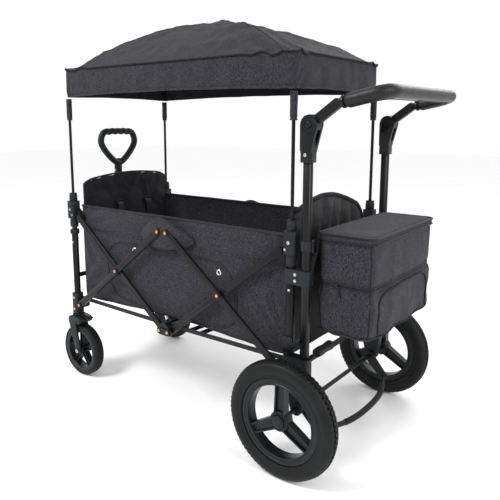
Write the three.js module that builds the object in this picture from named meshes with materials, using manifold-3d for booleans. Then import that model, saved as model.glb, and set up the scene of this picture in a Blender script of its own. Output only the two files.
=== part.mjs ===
// Folding stroller wagon: two end frames joined by a scissor on each side, fabric tub,
// pole canopy, swivel casters in front, large wheels behind, pull handle and push handle.
// Millimetres, +Z up, +X towards the push handle, -Y is the wagon's left side.
import * as THREE from 'three';
import { mergeVertices } from 'three/addons/utils/BufferGeometryUtils.js';
import Module from 'manifold-3d';

const wasm = await Module();
wasm.setup();

// ---- Driving dimensions ----
const GAP = 0.4;               // clearance between pieces that touch or run on each other
const ARC = 6;                 // segments in a half circle of a flat outline
const HOLE_ARC = 5;            // the same around a drilled hole

const LEG_X = 437;             // end frame posts, from the middle of the wagon
const LEG_Y = 221;
const LEG_R = 11;
const LEG_WALL = 1.8;

const CASTER_R = 90;           // 7 inch front wheels
const CASTER_W = 38;
const CASTER_RIM_R = CASTER_R - 14;
const CASTER_RIM_IN_R = CASTER_R - 28;
const CASTER_TRAIL = 22;
const CASTER_AXLE_R = 4;
const CASTER_CROWN_LOW = 2 * CASTER_R + 7;
const CASTER_CROWN_TOP = CASTER_CROWN_LOW + 25;
const CASTER_ARM_T = 6;
const STEM_R = 7;
const BRACKET_LOW = CASTER_CROWN_TOP + 4;
const STEM_TOP = BRACKET_LOW + 22;
const LEG_LOW = STEM_TOP - 2;

const PIVOT_INSET = 32;        // scissor pivots sit this far inside the posts
const PIVOT_LOW_Z = BRACKET_LOW + 39;
const PIVOT_HIGH_Z = PIVOT_LOW_Z + 303;
const BRACKET_TOP = PIVOT_LOW_Z + 35;
const HUB_HALF = 17;           // half the distance between the two pivots of a centre hub
const BAR_THICK = 8;
const BAR_END_R = 10;
const RIVET_R = 4;
const RIVET_HEAD_R = 6.5;
const RIVET_HEAD_T = 2.5;
const LAYER_GAP = 1;           // sideways room between the two layers of bars

const SLIDER_R = LEG_R - LEG_WALL - 2 * GAP;   // inner tube of the telescoping post
const LEG_TOP = PIVOT_LOW_Z + 260;
const SLIDER_LOW = PIVOT_LOW_Z + 20;
const CLAMP_LOW = PIVOT_HIGH_Z - 5;
const SLIDER_TOP = CLAMP_LOW + 13;
const CLAMP_TOP = CLAMP_LOW + 59;
const CAP_TOP = CLAMP_TOP + 27;
const CLAMP_R = LEG_R + 6;
const CLAMP_WALL = 4;          // moulded wall around a post
const EAR_RISE = 24;           // how far a clamp's ear climbs from its pivot to the post
const HUB_PLATE_R = BAR_END_R + 3;
const LOW_HUB_TUBE_RISE = 17;  // lower hub's cross tube above its pivots
const EAR_R = 12;

const POLE_R = 4.5;            // canopy poles
const COLLAR_WALL = 8;         // round the pole's socket
const SLEEVE_W = 17;
const SLEEVE_D = 14;

const CANOPY_LOW = 955;
const CANOPY_EDGE = CANOPY_LOW + 92;
const SLEEVE_LOW = CANOPY_LOW - 74;
const SLEEVE_TOP = CANOPY_LOW - 5;
const CANOPY_RISE = 127;
const CANOPY_OVER_X = 9;       // how far the canopy passes the posts
const CANOPY_OVER_Y = 12;
const CANOPY_SKIN = 4;
const CANOPY_STEPS_X = 12;
const CANOPY_STEPS_Y = 10;

const TUB_END_GAP = 9;         // tub wall to post centre line, lengthways
const TUB_LOW = PIVOT_LOW_Z + 31;
const TUB_TOP = TUB_LOW + 314;
const TUB_SKIN = 4;
const MAT_THICK = 14;
const BACK_THICK = 13;
const BACK_TOP = 694;
const BACK_SIDE_ROOM = 9;

const POST_X = LEG_X + 43;     // push handle posts
const POST_R = 12;
const POST_LOW = PIVOT_LOW_Z - 5;
const POST_TOP = 846;
const MID_CLAMP_Z = 499;
const MID_CLAMP_H = 38;
const CLAMP_HALF_Y = POST_R + CLAMP_WALL;
const TUB_SIDE_GAP = CLAMP_HALF_Y + 1;         // tub wall to post centre line, sideways

const HANDLE_HINGE_X = POST_X + 7.5;
const HANDLE_HINGE_Z = POST_TOP + 25.5;
const HANDLE_HUB_R = 23;
const HANDLE_SOCKET_LOW = POST_TOP - 64;
const HANDLE_CHEEK = 8;
const EYE_THICK = 14.6;
const BAR_R = 9.5;
const GRIP_R = 17;
const ARM_RISE_X = 66.5;       // hinge to the end of the arm
const ARM_RISE_Z = 47.5;
const GRIP_FAR_X = 183.5;      // hinge to the middle of the grip
const GRIP_FAR_Z = 72.5;
const GRIP_BEND_R = 48;
const GRIP_START = 16;         // bare arm left before the padding starts
const HANDLE_STEPS = 24;
const BUTTON_R = 9;
const BUTTON_OUT = 5;

const WHEEL_R = 152.5;         // 12 inch rear wheels
const WHEEL_W = 45;
const RIM_R = WHEEL_R - 41.5;
const RIM_IN_R = RIM_R - 19;
const RIM_W = 34;
const WHEEL_OUT = WHEEL_W / 2 + 52.5;          // wheel's middle plane, out from the post
const AXLE_X = LEG_X + 27;
const AXLE_R = 6;
const HUB_CAP_R = 27;


const CROSS_R = 8;
const REAR_CROSS_Z = PIVOT_LOW_Z - 12;
const LOCK_BACK = CROSS_R + 22;                // swivel lock's pivot, behind the stem
const LOCK_RISE = 25.5;        // and above the underside of the fork's crown

const YOKE_X = LEG_X + 38;     // pull handle pivot, in front of the middle
const YOKE_Z = PIVOT_LOW_Z + 7;
const PULL_LEAN = 18;          // the handle leans back by this much at its grip
const PULL_GRIP_TOP = 856;
const PULL_NECK = 700;
const PULL_OUTER_R = 11;
const PULL_INNER_R = 8;
const PULL_OUTER_TOP = 620;
const PULL_INNER_LOW = 335;
const PULL_GRIP_W = 182;
const PULL_GRIP_R = 14;

const BAG_FRONT_X = POST_X + 17;
const BAG_REAR_X = BAG_FRONT_X + 144;
const BAG_HALF_Y = LEG_Y - 27;
const BAG_LOW = 356;
const BAG_TOP = 600;
const BAG_LID = 15;
const BAG_WALL = 6;
const BAG_CORNER = 18;

const BRAKE_BOW_X = AXLE_X + 51;               // ends of the brake's foot bar
const BRAKE_BOW_Z = WHEEL_R - 55.5;
const BRAKE_BOW_OUT = 40;      // how far the bar bows out behind its ends
const BRAKE_BOW_DROP = 7;
const BRAKE_R = 7;
const BRAKE_ARM_T = 10;

// ---- Derived places ----
const PIVOT_X = LEG_X - PIVOT_INSET;
const CROSS_X = (PIVOT_X + HUB_HALF) / 2;
const CROSS_Z = (PIVOT_LOW_Z + PIVOT_HIGH_Z) / 2;
const INNER_LAYER = [LEG_Y + LAYER_GAP, LEG_Y + LAYER_GAP + BAR_THICK];
const OUTER_LAYER = [INNER_LAYER[1] + LAYER_GAP, INNER_LAYER[1] + LAYER_GAP + BAR_THICK];
const CLAMP_LAYER = [LEG_Y - CLAMP_HALF_Y, LEG_Y + CLAMP_HALF_Y];
const LOW_HUB_LAYER = [INNER_LAYER[1] + GAP, OUTER_LAYER[1]];
const LOW_HUB_TUBE_Z = PIVOT_LOW_Z + LOW_HUB_TUBE_RISE;
const EAR_LAYER = [CLAMP_LAYER[0], OUTER_LAYER[0] - GAP];
const CROSS_END = CLAMP_LAYER[0] - GAP;
const CHEEK_IN = [LEG_Y - EYE_THICK / 2 - GAP - HANDLE_CHEEK, LEG_Y - EYE_THICK / 2 - GAP];
const CHEEK_OUT = [LEG_Y + EYE_THICK / 2 + GAP, LEG_Y + EYE_THICK / 2 + GAP + HANDLE_CHEEK];
const TUB_X = LEG_X - TUB_END_GAP;
const TUB_Y = LEG_Y - TUB_SIDE_GAP;
const CASTER_X = -LEG_X + CASTER_TRAIL;
const CASTER_Z = CASTER_R;
const ARM_IN = CASTER_W / 2 + 1.5;             // caster's middle plane to the inside of a fork arm
const AXLE_Z = WHEEL_R;
const WHEEL_Y = LEG_Y + WHEEL_OUT;
const AXLE_END = WHEEL_Y - GAP;
const SIDES = [['left', -1], ['right', 1]];

// ---- Geometry helpers ----
// A three.js geometry as a manifold-3d solid.
function solid(geometry) {
  const bare = geometry.index ? geometry.toNonIndexed() : geometry.clone();
  bare.deleteAttribute('normal');
  bare.deleteAttribute('uv');
  const merged = mergeVertices(bare, 1e-3);
  return new wasm.Manifold(new wasm.Mesh({
    numProp: 3,
    vertProperties: new Float32Array(merged.attributes.position.array),
    triVerts: new Uint32Array(merged.index.array),
  }));
}

// A manifold-3d solid as a three.js geometry.
function geometryOf(made) {
  const mesh = made.getMesh();
  const geometry = new THREE.BufferGeometry();
  geometry.setAttribute('position', new THREE.BufferAttribute(mesh.vertProperties.slice(), 3));
  geometry.setIndex(new THREE.BufferAttribute(mesh.triVerts.slice(), 1));
  geometry.computeVertexNormals();
  return geometry;
}

const join = (...geometries) => geometryOf(geometries.map(solid).reduce((a, b) => a.add(b)));
const cut = (base, ...tools) => geometryOf(tools.map(solid).reduce((a, b) => a.subtract(b), solid(base)));

// A box from its lowest to its highest corner.
function block([x0, y0, z0], [x1, y1, z1]) {
  return new THREE.BoxGeometry(x1 - x0, y1 - y0, z1 - z0)
    .translate((x0 + x1) / 2, (y0 + y1) / 2, (z0 + z1) / 2);
}

// A round rod from one point to another.
function rod(from, to, radius, sides = 12) {
  const a = new THREE.Vector3(...from);
  const b = new THREE.Vector3(...to);
  const turn = new THREE.Quaternion().setFromUnitVectors(
    new THREE.Vector3(0, 1, 0), b.clone().sub(a).normalize());
  return new THREE.CylinderGeometry(radius, radius, a.distanceTo(b), sides)
    .applyQuaternion(turn)
    .translate((a.x + b.x) / 2, (a.y + b.y) / 2, (a.z + b.z) / 2);
}

// A round pipe from one point to another, open at both ends.
function pipe(from, to, outer, inner, sides = 12) {
  const a = new THREE.Vector3(...from);
  const b = new THREE.Vector3(...to);
  const half = a.distanceTo(b) / 2;
  const turn = new THREE.Quaternion().setFromUnitVectors(
    new THREE.Vector3(0, 1, 0), b.clone().sub(a).normalize());
  const profile = [[inner, -half], [outer, -half], [outer, half], [inner, half], [inner, -half]];
  return new THREE.LatheGeometry(profile.map(([r, y]) => new THREE.Vector2(r, y)), sides)
    .applyQuaternion(turn)
    .translate((a.x + b.x) / 2, (a.y + b.y) / 2, (a.z + b.z) / 2);
}

// A body turned about an axis along Y through (x, z); the profile lists [radius, y].
function turned(profile, x, z, sides = 40) {
  return new THREE.LatheGeometry(profile.map(([r, y]) => new THREE.Vector2(r, y)), sides)
    .translate(x, 0, z);
}

// An outline in the XZ plane, made thick from y0 to y1.
function plate(outline, [y0, y1]) {
  return new THREE.ExtrudeGeometry(outline, { depth: y1 - y0, bevelEnabled: false, curveSegments: HOLE_ARC })
    .rotateX(Math.PI / 2)
    .translate(0, y1, 0);
}

// The same layer on the left or on the right side.
const layer = (side, [a, b]) => (side < 0 ? [-b, -a] : [a, b]);

// An outline with round ends around two points.
function barOutline([x0, z0], [x1, z1], radius, holes = [], holeR = RIVET_R + GAP) {
  const angle = Math.atan2(z1 - z0, x1 - x0);
  const outline = new THREE.Shape();
  outline.absarc(x1, z1, radius, angle - Math.PI / 2, angle + Math.PI / 2, false);
  outline.absarc(x0, z0, radius, angle + Math.PI / 2, angle + 1.5 * Math.PI, false);
  outline.closePath();
  for (const [x, z] of holes) {
    const hole = new THREE.Path();
    hole.absarc(x, z, holeR, 0, 2 * Math.PI, true);
    outline.holes.push(hole);
  }
  return outline;
}

// The outline that a tight band round the given [x, z, radius] discs would have.
function hullOutline(discs) {
  const points = discs.flatMap(([x, z, r]) => Array.from({ length: 2 * ARC }, (_, i) => {
    const a = (i * Math.PI) / ARC;
    return [x + r * Math.cos(a), z + r * Math.sin(a)];
  })).sort((p, q) => p[0] - q[0] || p[1] - q[1]);
  const turnsLeft = (o, a, b) => (a[0] - o[0]) * (b[1] - o[1]) - (a[1] - o[1]) * (b[0] - o[0]) > 1e-6;
  const half = (list) => list.reduce((chain, p) => {
    while (chain.length > 1 && !turnsLeft(chain[chain.length - 2], chain[chain.length - 1], p)) chain.pop();
    return [...chain, p];
  }, []);
  const ring = [...half(points).slice(0, -1), ...half(points.toReversed()).slice(0, -1)];
  return new THREE.Shape(ring.map(([x, z]) => new THREE.Vector2(x, z)));
}

// A rectangle with round corners in the XY plane.
function roundRect(x0, y0, x1, y1, r) {
  const shape = new THREE.Shape();
  shape.absarc(x1 - r, y1 - r, r, 0, Math.PI / 2, false);
  shape.absarc(x0 + r, y1 - r, r, Math.PI / 2, Math.PI, false);
  shape.absarc(x0 + r, y0 + r, r, Math.PI, 1.5 * Math.PI, false);
  shape.absarc(x1 - r, y0 + r, r, 1.5 * Math.PI, 2 * Math.PI, false);
  shape.closePath();
  return shape;
}

// An outline in the XY plane, made thick from z0 to z1.
function slab(outline, z0, z1, curveSegments = 3) {
  return new THREE.ExtrudeGeometry(outline, { depth: z1 - z0, bevelEnabled: false, curveSegments })
    .translate(0, 0, z0);
}

// A round section swept along a curve, hollow when an inner radius is given.
function swept(curve, steps, radius, sides = 12, inner = 0) {
  const ring = (r, clockwise) => {
    const path = clockwise ? new THREE.Path() : new THREE.Shape();
    path.absarc(0, 0, r, 0, 2 * Math.PI, clockwise);
    return path;
  };
  const section = ring(radius, false);
  if (inner > 0) section.holes.push(ring(inner, true));
  return new THREE.ExtrudeGeometry(section, { steps, extrudePath: curve, curveSegments: sides / 2 });
}

// A chain of straight runs with round bends through the given corners.
function bentPath(corners, radius) {
  const path = new THREE.CurvePath();
  let start = corners[0];
  for (let i = 1; i < corners.length - 1; i += 1) {
    const back = corners[i - 1].clone().sub(corners[i]).setLength(radius).add(corners[i]);
    const ahead = corners[i + 1].clone().sub(corners[i]).setLength(radius).add(corners[i]);
    path.add(new THREE.LineCurve3(start, back));
    path.add(new THREE.QuadraticBezierCurve3(back, corners[i], ahead));
    start = ahead;
  }
  path.add(new THREE.LineCurve3(start, corners[corners.length - 1]));
  return path;
}

// ---- Materials ----
const matt = (colour, roughness, metalness = 0) =>
  new THREE.MeshStandardMaterial({ color: colour, roughness, metalness });
const STEEL_BLACK = matt(0x17181a, 0.45, 0.5);
const PLASTIC = matt(0x1d2326, 0.55);
const FABRIC = matt(0x45424b, 0.95);
const DARK_FABRIC = matt(0x26252b, 0.9);
const TYRE = matt(0x101112, 0.85);
const PADDING = matt(0x141416, 0.5);
const BOLT = matt(0x8d8a86, 0.35, 0.9);

const wagon = new THREE.Group();

function add(name, geometry, material) {
  const mesh = new THREE.Mesh(geometry, material);
  mesh.name = name;
  wagon.add(mesh);
}

// ---- Scissor bars, rivets and centre hubs ----
// A rivet through the given layers, with a head on its outer end.
function rivet(side, x, z, from, to) {
  return join(
    rod([x, side * from, z], [x, side * to, z], RIVET_R, 8),
    rod([x, side * (to - RIVET_HEAD_T / 2), z], [x, side * (to + RIVET_HEAD_T), z], RIVET_HEAD_R, 10));
}

// end is +1 for the rear half of the wagon and -1 for the front half.
function scissorBars(side, sideName, end, endName) {
  const low = [end * PIVOT_X, PIVOT_LOW_Z];
  const high = [end * PIVOT_X, PIVOT_HIGH_Z];
  const centreLow = [end * HUB_HALF, PIVOT_LOW_Z];
  const centreHigh = [end * HUB_HALF, PIVOT_HIGH_Z];
  const crossing = [end * CROSS_X, CROSS_Z];
  const outer = plate(barOutline(low, centreHigh, BAR_END_R), layer(side, OUTER_LAYER));
  const reach = INNER_LAYER[0] - GAP;
  add(`bar_${endName}_outer_${sideName}`, join(outer,
    rivet(side, ...low, reach - LAYER_GAP, OUTER_LAYER[1]),
    rivet(side, ...centreHigh, reach, OUTER_LAYER[1]),
    rivet(side, ...crossing, reach, OUTER_LAYER[1])), STEEL_BLACK);
  const inner = plate(barOutline(centreLow, high, BAR_END_R, [crossing, centreLow]),
    layer(side, INNER_LAYER));
  const pin = rod([high[0], side * (CLAMP_LAYER[0] + GAP), high[1]],
    [high[0], side * (INNER_LAYER[1] - 1), high[1]], RIVET_R, 12);
  add(`bar_${endName}_inner_${sideName}`, join(inner, pin), STEEL_BLACK);
}

for (const [sideName, side] of SIDES) {
  scissorBars(side, sideName, 1, 'rear');
  scissorBars(side, sideName, -1, 'front');
}

for (const [sideName, side] of SIDES) {
  const holes = [[-HUB_HALF, PIVOT_HIGH_Z], [HUB_HALF, PIVOT_HIGH_Z]];
  add(`top_hub_${sideName}`, plate(barOutline(...holes, HUB_PLATE_R, holes),
    layer(side, [INNER_LAYER[0], INNER_LAYER[1] + LAYER_GAP - GAP])), PLASTIC);
}

// The two lower hub plates and the tube across under the floor are one welded piece.
function lowerHub() {
  const pieces = SIDES.flatMap(([, side]) => {
    const lobes = [[-HUB_HALF, PIVOT_LOW_Z, HUB_PLATE_R], [HUB_HALF, PIVOT_LOW_Z, HUB_PLATE_R],
      [0, LOW_HUB_TUBE_Z, CROSS_R + 2]];
    return [plate(hullOutline(lobes), layer(side, LOW_HUB_LAYER)),
      rivet(side, -HUB_HALF, PIVOT_LOW_Z, INNER_LAYER[0], LOW_HUB_LAYER[1]),
      rivet(side, HUB_HALF, PIVOT_LOW_Z, INNER_LAYER[0], LOW_HUB_LAYER[1])];
  });
  const reach = LOW_HUB_LAYER[0] + 1;
  return join(rod([0, -reach, LOW_HUB_TUBE_Z], [0, reach, LOW_HUB_TUBE_Z], CROSS_R), ...pieces);
}
add('lower_hub_frame', lowerHub(), STEEL_BLACK);

// ---- Telescoping posts, top sliders and canopy poles ----
// A sliding tube with the moulded clamp on its top, its scissor ear and its pole socket.
function topSlider(side, end) {
  const x = end * LEG_X;
  const y = side * LEG_Y;
  const body = slab(roundRect(x - CLAMP_R, y - CLAMP_HALF_Y, x + CLAMP_R, y + CLAMP_HALF_Y, 7),
    CLAMP_LOW, CLAMP_TOP);
  const collar = rod([x, y, CLAMP_TOP - 1], [x, y, CAP_TOP], POLE_R + COLLAR_WALL);
  const earLayer = layer(side, [CLAMP_LAYER[0], INNER_LAYER[0] - GAP]);
  const ear = plate(barOutline([end * PIVOT_X, PIVOT_HIGH_Z], [x, PIVOT_HIGH_Z + EAR_RISE], BAR_END_R + 1),
    earLayer);
  const tube = rod([x, y, SLIDER_LOW], [x, y, SLIDER_TOP], SLIDER_R);
  const pinHole = rod([end * PIVOT_X, side * (CLAMP_LAYER[0] - 1), PIVOT_HIGH_Z],
    [end * PIVOT_X, side * (INNER_LAYER[0] + 1), PIVOT_HIGH_Z], RIVET_R + GAP, 12);
  const poleHole = rod([x, y, CLAMP_TOP - 6], [x, y, CAP_TOP + 1], POLE_R + GAP);
  return cut(join(body, collar, ear, tube), pinHole, poleHole);
}

function canopyPole(side, end) {
  const x = end * LEG_X;
  const y = side * LEG_Y;
  const pole = rod([x, y, CLAMP_TOP - 5], [x, y, SLEEVE_LOW + 2], POLE_R, 12);
  const sleeve = slab(roundRect(x - SLEEVE_W / 2, y - SLEEVE_D / 2, x + SLEEVE_W / 2,
    y + SLEEVE_D / 2, 3), SLEEVE_LOW, SLEEVE_TOP, 3);
  return join(pole, sleeve);
}

for (const [endName, end] of [['rear', 1], ['front', -1]]) {
  for (const [sideName, side] of SIDES) {
    add(`top_slider_${endName}_${sideName}`, topSlider(side, end), PLASTIC);
    add(`canopy_pole_${endName}_${sideName}`, canopyPole(side, end), STEEL_BLACK);
    add(`${endName}_leg_${sideName}`, pipe([end * LEG_X, side * LEG_Y, LEG_LOW],
      [end * LEG_X, side * LEG_Y, LEG_TOP], LEG_R, LEG_R - LEG_WALL), STEEL_BLACK);
  }
}

// ---- Clamps and brackets on the posts ----
// Holes for the posts that pass through a clamp on the given side.
function postHoles(side, end, low, high) {
  const hole = (x, r) => rod([end * x, side * LEG_Y, low], [end * x, side * LEG_Y, high], r + GAP);
  return end > 0 ? [hole(LEG_X, LEG_R), hole(POST_X, POST_R)] : [hole(LEG_X, LEG_R)];
}

function midClamp(side) {
  const low = MID_CLAMP_Z - MID_CLAMP_H / 2;
  const high = MID_CLAMP_Z + MID_CLAMP_H / 2;
  const body = slab(roundRect(LEG_X - LEG_R - CLAMP_WALL, side * LEG_Y - CLAMP_HALF_Y,
    POST_X + POST_R + CLAMP_WALL, side * LEG_Y + CLAMP_HALF_Y, 10), low, high);
  return cut(body, ...postHoles(side, 1, low - 1, high + 1));
}

// The ear that holds the lower scissor pivot, with a hole for its rivet.
function pivotEar(side, end) {
  const outline = barOutline([end * PIVOT_X, PIVOT_LOW_Z], [end * (LEG_X - LEG_R), PIVOT_LOW_Z],
    EAR_R, [[end * PIVOT_X, PIVOT_LOW_Z]]);
  return plate(outline, layer(side, EAR_LAYER));
}

// Joins leg and handle post at their feet and carries the rear axle.
function rearBracket(side) {
  const low = POST_LOW - 22;
  const foot = slab(roundRect(LEG_X - LEG_R - CLAMP_WALL, side * LEG_Y - CLAMP_HALF_Y,
    POST_X + POST_R + CLAMP_WALL, side * LEG_Y + CLAMP_HALF_Y, 10), low, BRACKET_TOP);
  const arm = plate(hullOutline([[AXLE_X, AXLE_Z, 17], [LEG_X, low + 14, 14], [POST_X, low + 14, 14]]),
    layer(side, [LEG_Y - 12, LEG_Y + 12]));
  const axleHole = rod([AXLE_X, side * (LEG_Y - 20), AXLE_Z], [AXLE_X, side * (LEG_Y + 20), AXLE_Z],
    AXLE_R + GAP);
  const leg = rod([LEG_X, side * LEG_Y, LEG_LOW - GAP], [LEG_X, side * LEG_Y, BRACKET_TOP + 1],
    LEG_R + GAP);
  const post = rod([POST_X, side * LEG_Y, POST_LOW - GAP], [POST_X, side * LEG_Y, BRACKET_TOP + 1],
    POST_R + GAP);
  return cut(join(foot, arm, pivotEar(side, 1)), axleHole, leg, post);
}

// Holds the front leg's foot, the lower scissor pivot and the caster's stem.
function frontBracket(side) {
  const x = -LEG_X;
  const body = slab(roundRect(x - LEG_R - CLAMP_WALL, side * LEG_Y - CLAMP_HALF_Y,
    x + LEG_R + CLAMP_WALL, side * LEG_Y + CLAMP_HALF_Y, 8), BRACKET_LOW, BRACKET_TOP);
  const leg = rod([x, side * LEG_Y, STEM_TOP - 2], [x, side * LEG_Y, BRACKET_TOP + 1], LEG_R + GAP);
  const stem = rod([x, side * LEG_Y, BRACKET_LOW - 1], [x, side * LEG_Y, STEM_TOP], STEM_R + GAP);
  return cut(join(body, pivotEar(side, -1)), leg, stem);
}

for (const [sideName, side] of SIDES) {
  add(`mid_clamp_${sideName}`, midClamp(side), PLASTIC);
  add(`rear_bracket_${sideName}`, rearBracket(side), PLASTIC);
  add(`front_bracket_${sideName}`, frontBracket(side), PLASTIC);
  add(`handle_post_${sideName}`, rod([POST_X, side * LEG_Y, POST_LOW], [POST_X, side * LEG_Y, POST_TOP],
    POST_R), STEEL_BLACK);
}
add('rear_cross_tube', rod([LEG_X, -CROSS_END, REAR_CROSS_Z], [LEG_X, CROSS_END, REAR_CROSS_Z],
  CROSS_R), STEEL_BLACK);

// ---- Push handle ----
// The socket on the post's top with two cheeks around the handle's eye.
function handleHinge(side) {
  const centre = [HANDLE_HINGE_X, HANDLE_HINGE_Z];
  const socket = slab(roundRect(POST_X - POST_R - CLAMP_WALL, side * LEG_Y - CLAMP_HALF_Y,
    POST_X + POST_R + CLAMP_WALL, side * LEG_Y + CLAMP_HALF_Y, 8), HANDLE_SOCKET_LOW, POST_TOP);
  const cheekOutline = hullOutline([[...centre, HANDLE_HUB_R],
    [POST_X, HANDLE_SOCKET_LOW + 30, POST_R + CLAMP_WALL - 1]]);
  const cheeks = [CHEEK_IN, CHEEK_OUT].map((span) => plate(cheekOutline, layer(side, span)));
  const turning = plate(hullOutline([[...centre, HANDLE_HUB_R + 1.5]]),
    layer(side, [CHEEK_IN[1], CHEEK_OUT[0]]));
  const post = rod([POST_X, side * LEG_Y, HANDLE_SOCKET_LOW - 1], [POST_X, side * LEG_Y, POST_TOP + GAP],
    POST_R + GAP);
  const well = rod([centre[0], side * (CHEEK_OUT[0] - 1), centre[1]],
    [centre[0], side * (CHEEK_OUT[1] + 1), centre[1]], BUTTON_R + GAP);
  return cut(join(socket, ...cheeks), turning, post, well);
}

// Centre line of the push handle, from its left hinge round to the right one.
function handleCorners() {
  const at = (dx, side, dz, y = LEG_Y) =>
    new THREE.Vector3(HANDLE_HINGE_X + dx, side * y, HANDLE_HINGE_Z + dz);
  return [at(ARM_RISE_X, -1, ARM_RISE_Z), at(GRIP_FAR_X, -1, GRIP_FAR_Z),
    at(GRIP_FAR_X, 1, GRIP_FAR_Z), at(ARM_RISE_X, 1, ARM_RISE_Z)];
}

const handleSweep = (radius) =>
  swept(bentPath(handleCorners(), GRIP_BEND_R), HANDLE_STEPS, radius, 10);

function pushBar() {
  const hub = [HANDLE_HINGE_X, HANDLE_HINGE_Z];
  const end = [HANDLE_HINGE_X + ARM_RISE_X, HANDLE_HINGE_Z + ARM_RISE_Z];
  const arms = SIDES.flatMap(([, side]) => {
    const span = layer(side, [LEG_Y - EYE_THICK / 2, LEG_Y + EYE_THICK / 2]);
    return [plate(barOutline(hub, end, BAR_R + 2), span),
      plate(hullOutline([[...hub, HANDLE_HUB_R]]), span)];
  });
  return join(handleSweep(BAR_R), ...arms);
}

// The padding starts a little way along the bar, so that the bare arm shows.
function pushGrip() {
  const start = HANDLE_HINGE_X + ARM_RISE_X + GRIP_START;
  const bare = block([start - 60, -2 * LEG_Y, HANDLE_HINGE_Z - 60],
    [start, 2 * LEG_Y, HANDLE_HINGE_Z + 2 * ARM_RISE_Z]);
  return cut(handleSweep(GRIP_R), handleSweep(BAR_R + GAP), bare);
}

add('push_bar', pushBar(), STEEL_BLACK);
add('push_grip', pushGrip(), PADDING);
for (const [sideName, side] of SIDES) {
  add(`handle_hinge_${sideName}`, handleHinge(side), PLASTIC);
  add(`handle_button_${sideName}`, rod([HANDLE_HINGE_X, side * (CHEEK_OUT[0] + 4), HANDLE_HINGE_Z],
    [HANDLE_HINGE_X, side * (CHEEK_OUT[1] + BUTTON_OUT), HANDLE_HINGE_Z], BUTTON_R), BOLT);
}

// ---- Rear wheels, axle and foot brake ----
const TYRE_PROFILE = [[RIM_R + GAP, -0.42], [WHEEL_R - 16, -0.5], [WHEEL_R - 5, -0.38],
  [WHEEL_R, -0.14], [WHEEL_R, 0.14], [WHEEL_R - 5, 0.38], [WHEEL_R - 16, 0.5], [RIM_R + GAP, 0.42],
  [RIM_R + GAP, -0.42]];

// A rim and a hub joined by three broad spokes.
function rearRim(side) {
  const y = side * WHEEL_Y;
  const ring = turned([[RIM_IN_R, y - RIM_W / 2], [RIM_R, y - RIM_W / 2], [RIM_R, y + RIM_W / 2],
    [RIM_IN_R, y + RIM_W / 2], [RIM_IN_R, y - RIM_W / 2]], AXLE_X, AXLE_Z, 32);
  const hub = rod([AXLE_X, side * (WHEEL_Y - RIM_W / 2), AXLE_Z],
    [AXLE_X, side * (WHEEL_Y + RIM_W / 2 - 2), AXLE_Z], HUB_CAP_R, 24);
  const spokes = [0, 1, 2].map((i) => {
    const a = ((90 + 120 * i) * Math.PI) / 180;
    const far = [AXLE_X + (RIM_IN_R + 4) * Math.cos(a), AXLE_Z + (RIM_IN_R + 4) * Math.sin(a)];
    return plate(hullOutline([[AXLE_X, AXLE_Z, 17], [...far, 13]]), layer(side, [WHEEL_Y - 9, WHEEL_Y + 11]));
  });
  const bore = rod([AXLE_X, side * (WHEEL_Y - RIM_W), AXLE_Z], [AXLE_X, side * WHEEL_Y, AXLE_Z],
    AXLE_R + GAP);
  const outside = turned([[RIM_R, y - WHEEL_W], [RIM_R + 30, y - WHEEL_W], [RIM_R + 30, y + WHEEL_W],
    [RIM_R, y + WHEEL_W], [RIM_R, y - WHEEL_W]], AXLE_X, AXLE_Z, 32);
  return cut(join(ring, hub, ...spokes), bore, outside);
}

for (const [sideName, side] of SIDES) {
  const y = side * WHEEL_Y;
  add(`rear_tyre_${sideName}`, turned(TYRE_PROFILE.map(([r, part]) => [r, y + part * WHEEL_W]),
    AXLE_X, AXLE_Z, 32), TYRE);
  add(`rear_rim_${sideName}`, rearRim(side), PLASTIC);
}
add('rear_axle', rod([AXLE_X, -AXLE_END, AXLE_Z], [AXLE_X, AXLE_END, AXLE_Z], AXLE_R), BOLT);

// A curved foot bar on two arms that turn on the axle.
function footBrake() {
  const y = CLAMP_LAYER[0] - GAP - BRAKE_ARM_T / 2;
  const path = new THREE.CatmullRomCurve3([
    new THREE.Vector3(BRAKE_BOW_X, -y, BRAKE_BOW_Z),
    new THREE.Vector3(BRAKE_BOW_X + BRAKE_BOW_OUT * 0.8, -y / 2, BRAKE_BOW_Z - BRAKE_BOW_DROP * 0.8),
    new THREE.Vector3(BRAKE_BOW_X + BRAKE_BOW_OUT, 0, BRAKE_BOW_Z - BRAKE_BOW_DROP),
    new THREE.Vector3(BRAKE_BOW_X + BRAKE_BOW_OUT * 0.8, y / 2, BRAKE_BOW_Z - BRAKE_BOW_DROP * 0.8),
    new THREE.Vector3(BRAKE_BOW_X, y, BRAKE_BOW_Z)]);
  const arms = SIDES.map(([, side]) => plate(
    hullOutline([[AXLE_X, AXLE_Z, 15], [BRAKE_BOW_X, BRAKE_BOW_Z, 10]]),
    layer(side, [y - BRAKE_ARM_T / 2, y + BRAKE_ARM_T / 2])));
  const hole = rod([AXLE_X, -WHEEL_Y, AXLE_Z], [AXLE_X, WHEEL_Y, AXLE_Z], AXLE_R + GAP);
  return cut(join(swept(path, 16, BRAKE_R, 8), ...arms), hole);
}
add('foot_brake', footBrake(), STEEL_BLACK);

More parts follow.
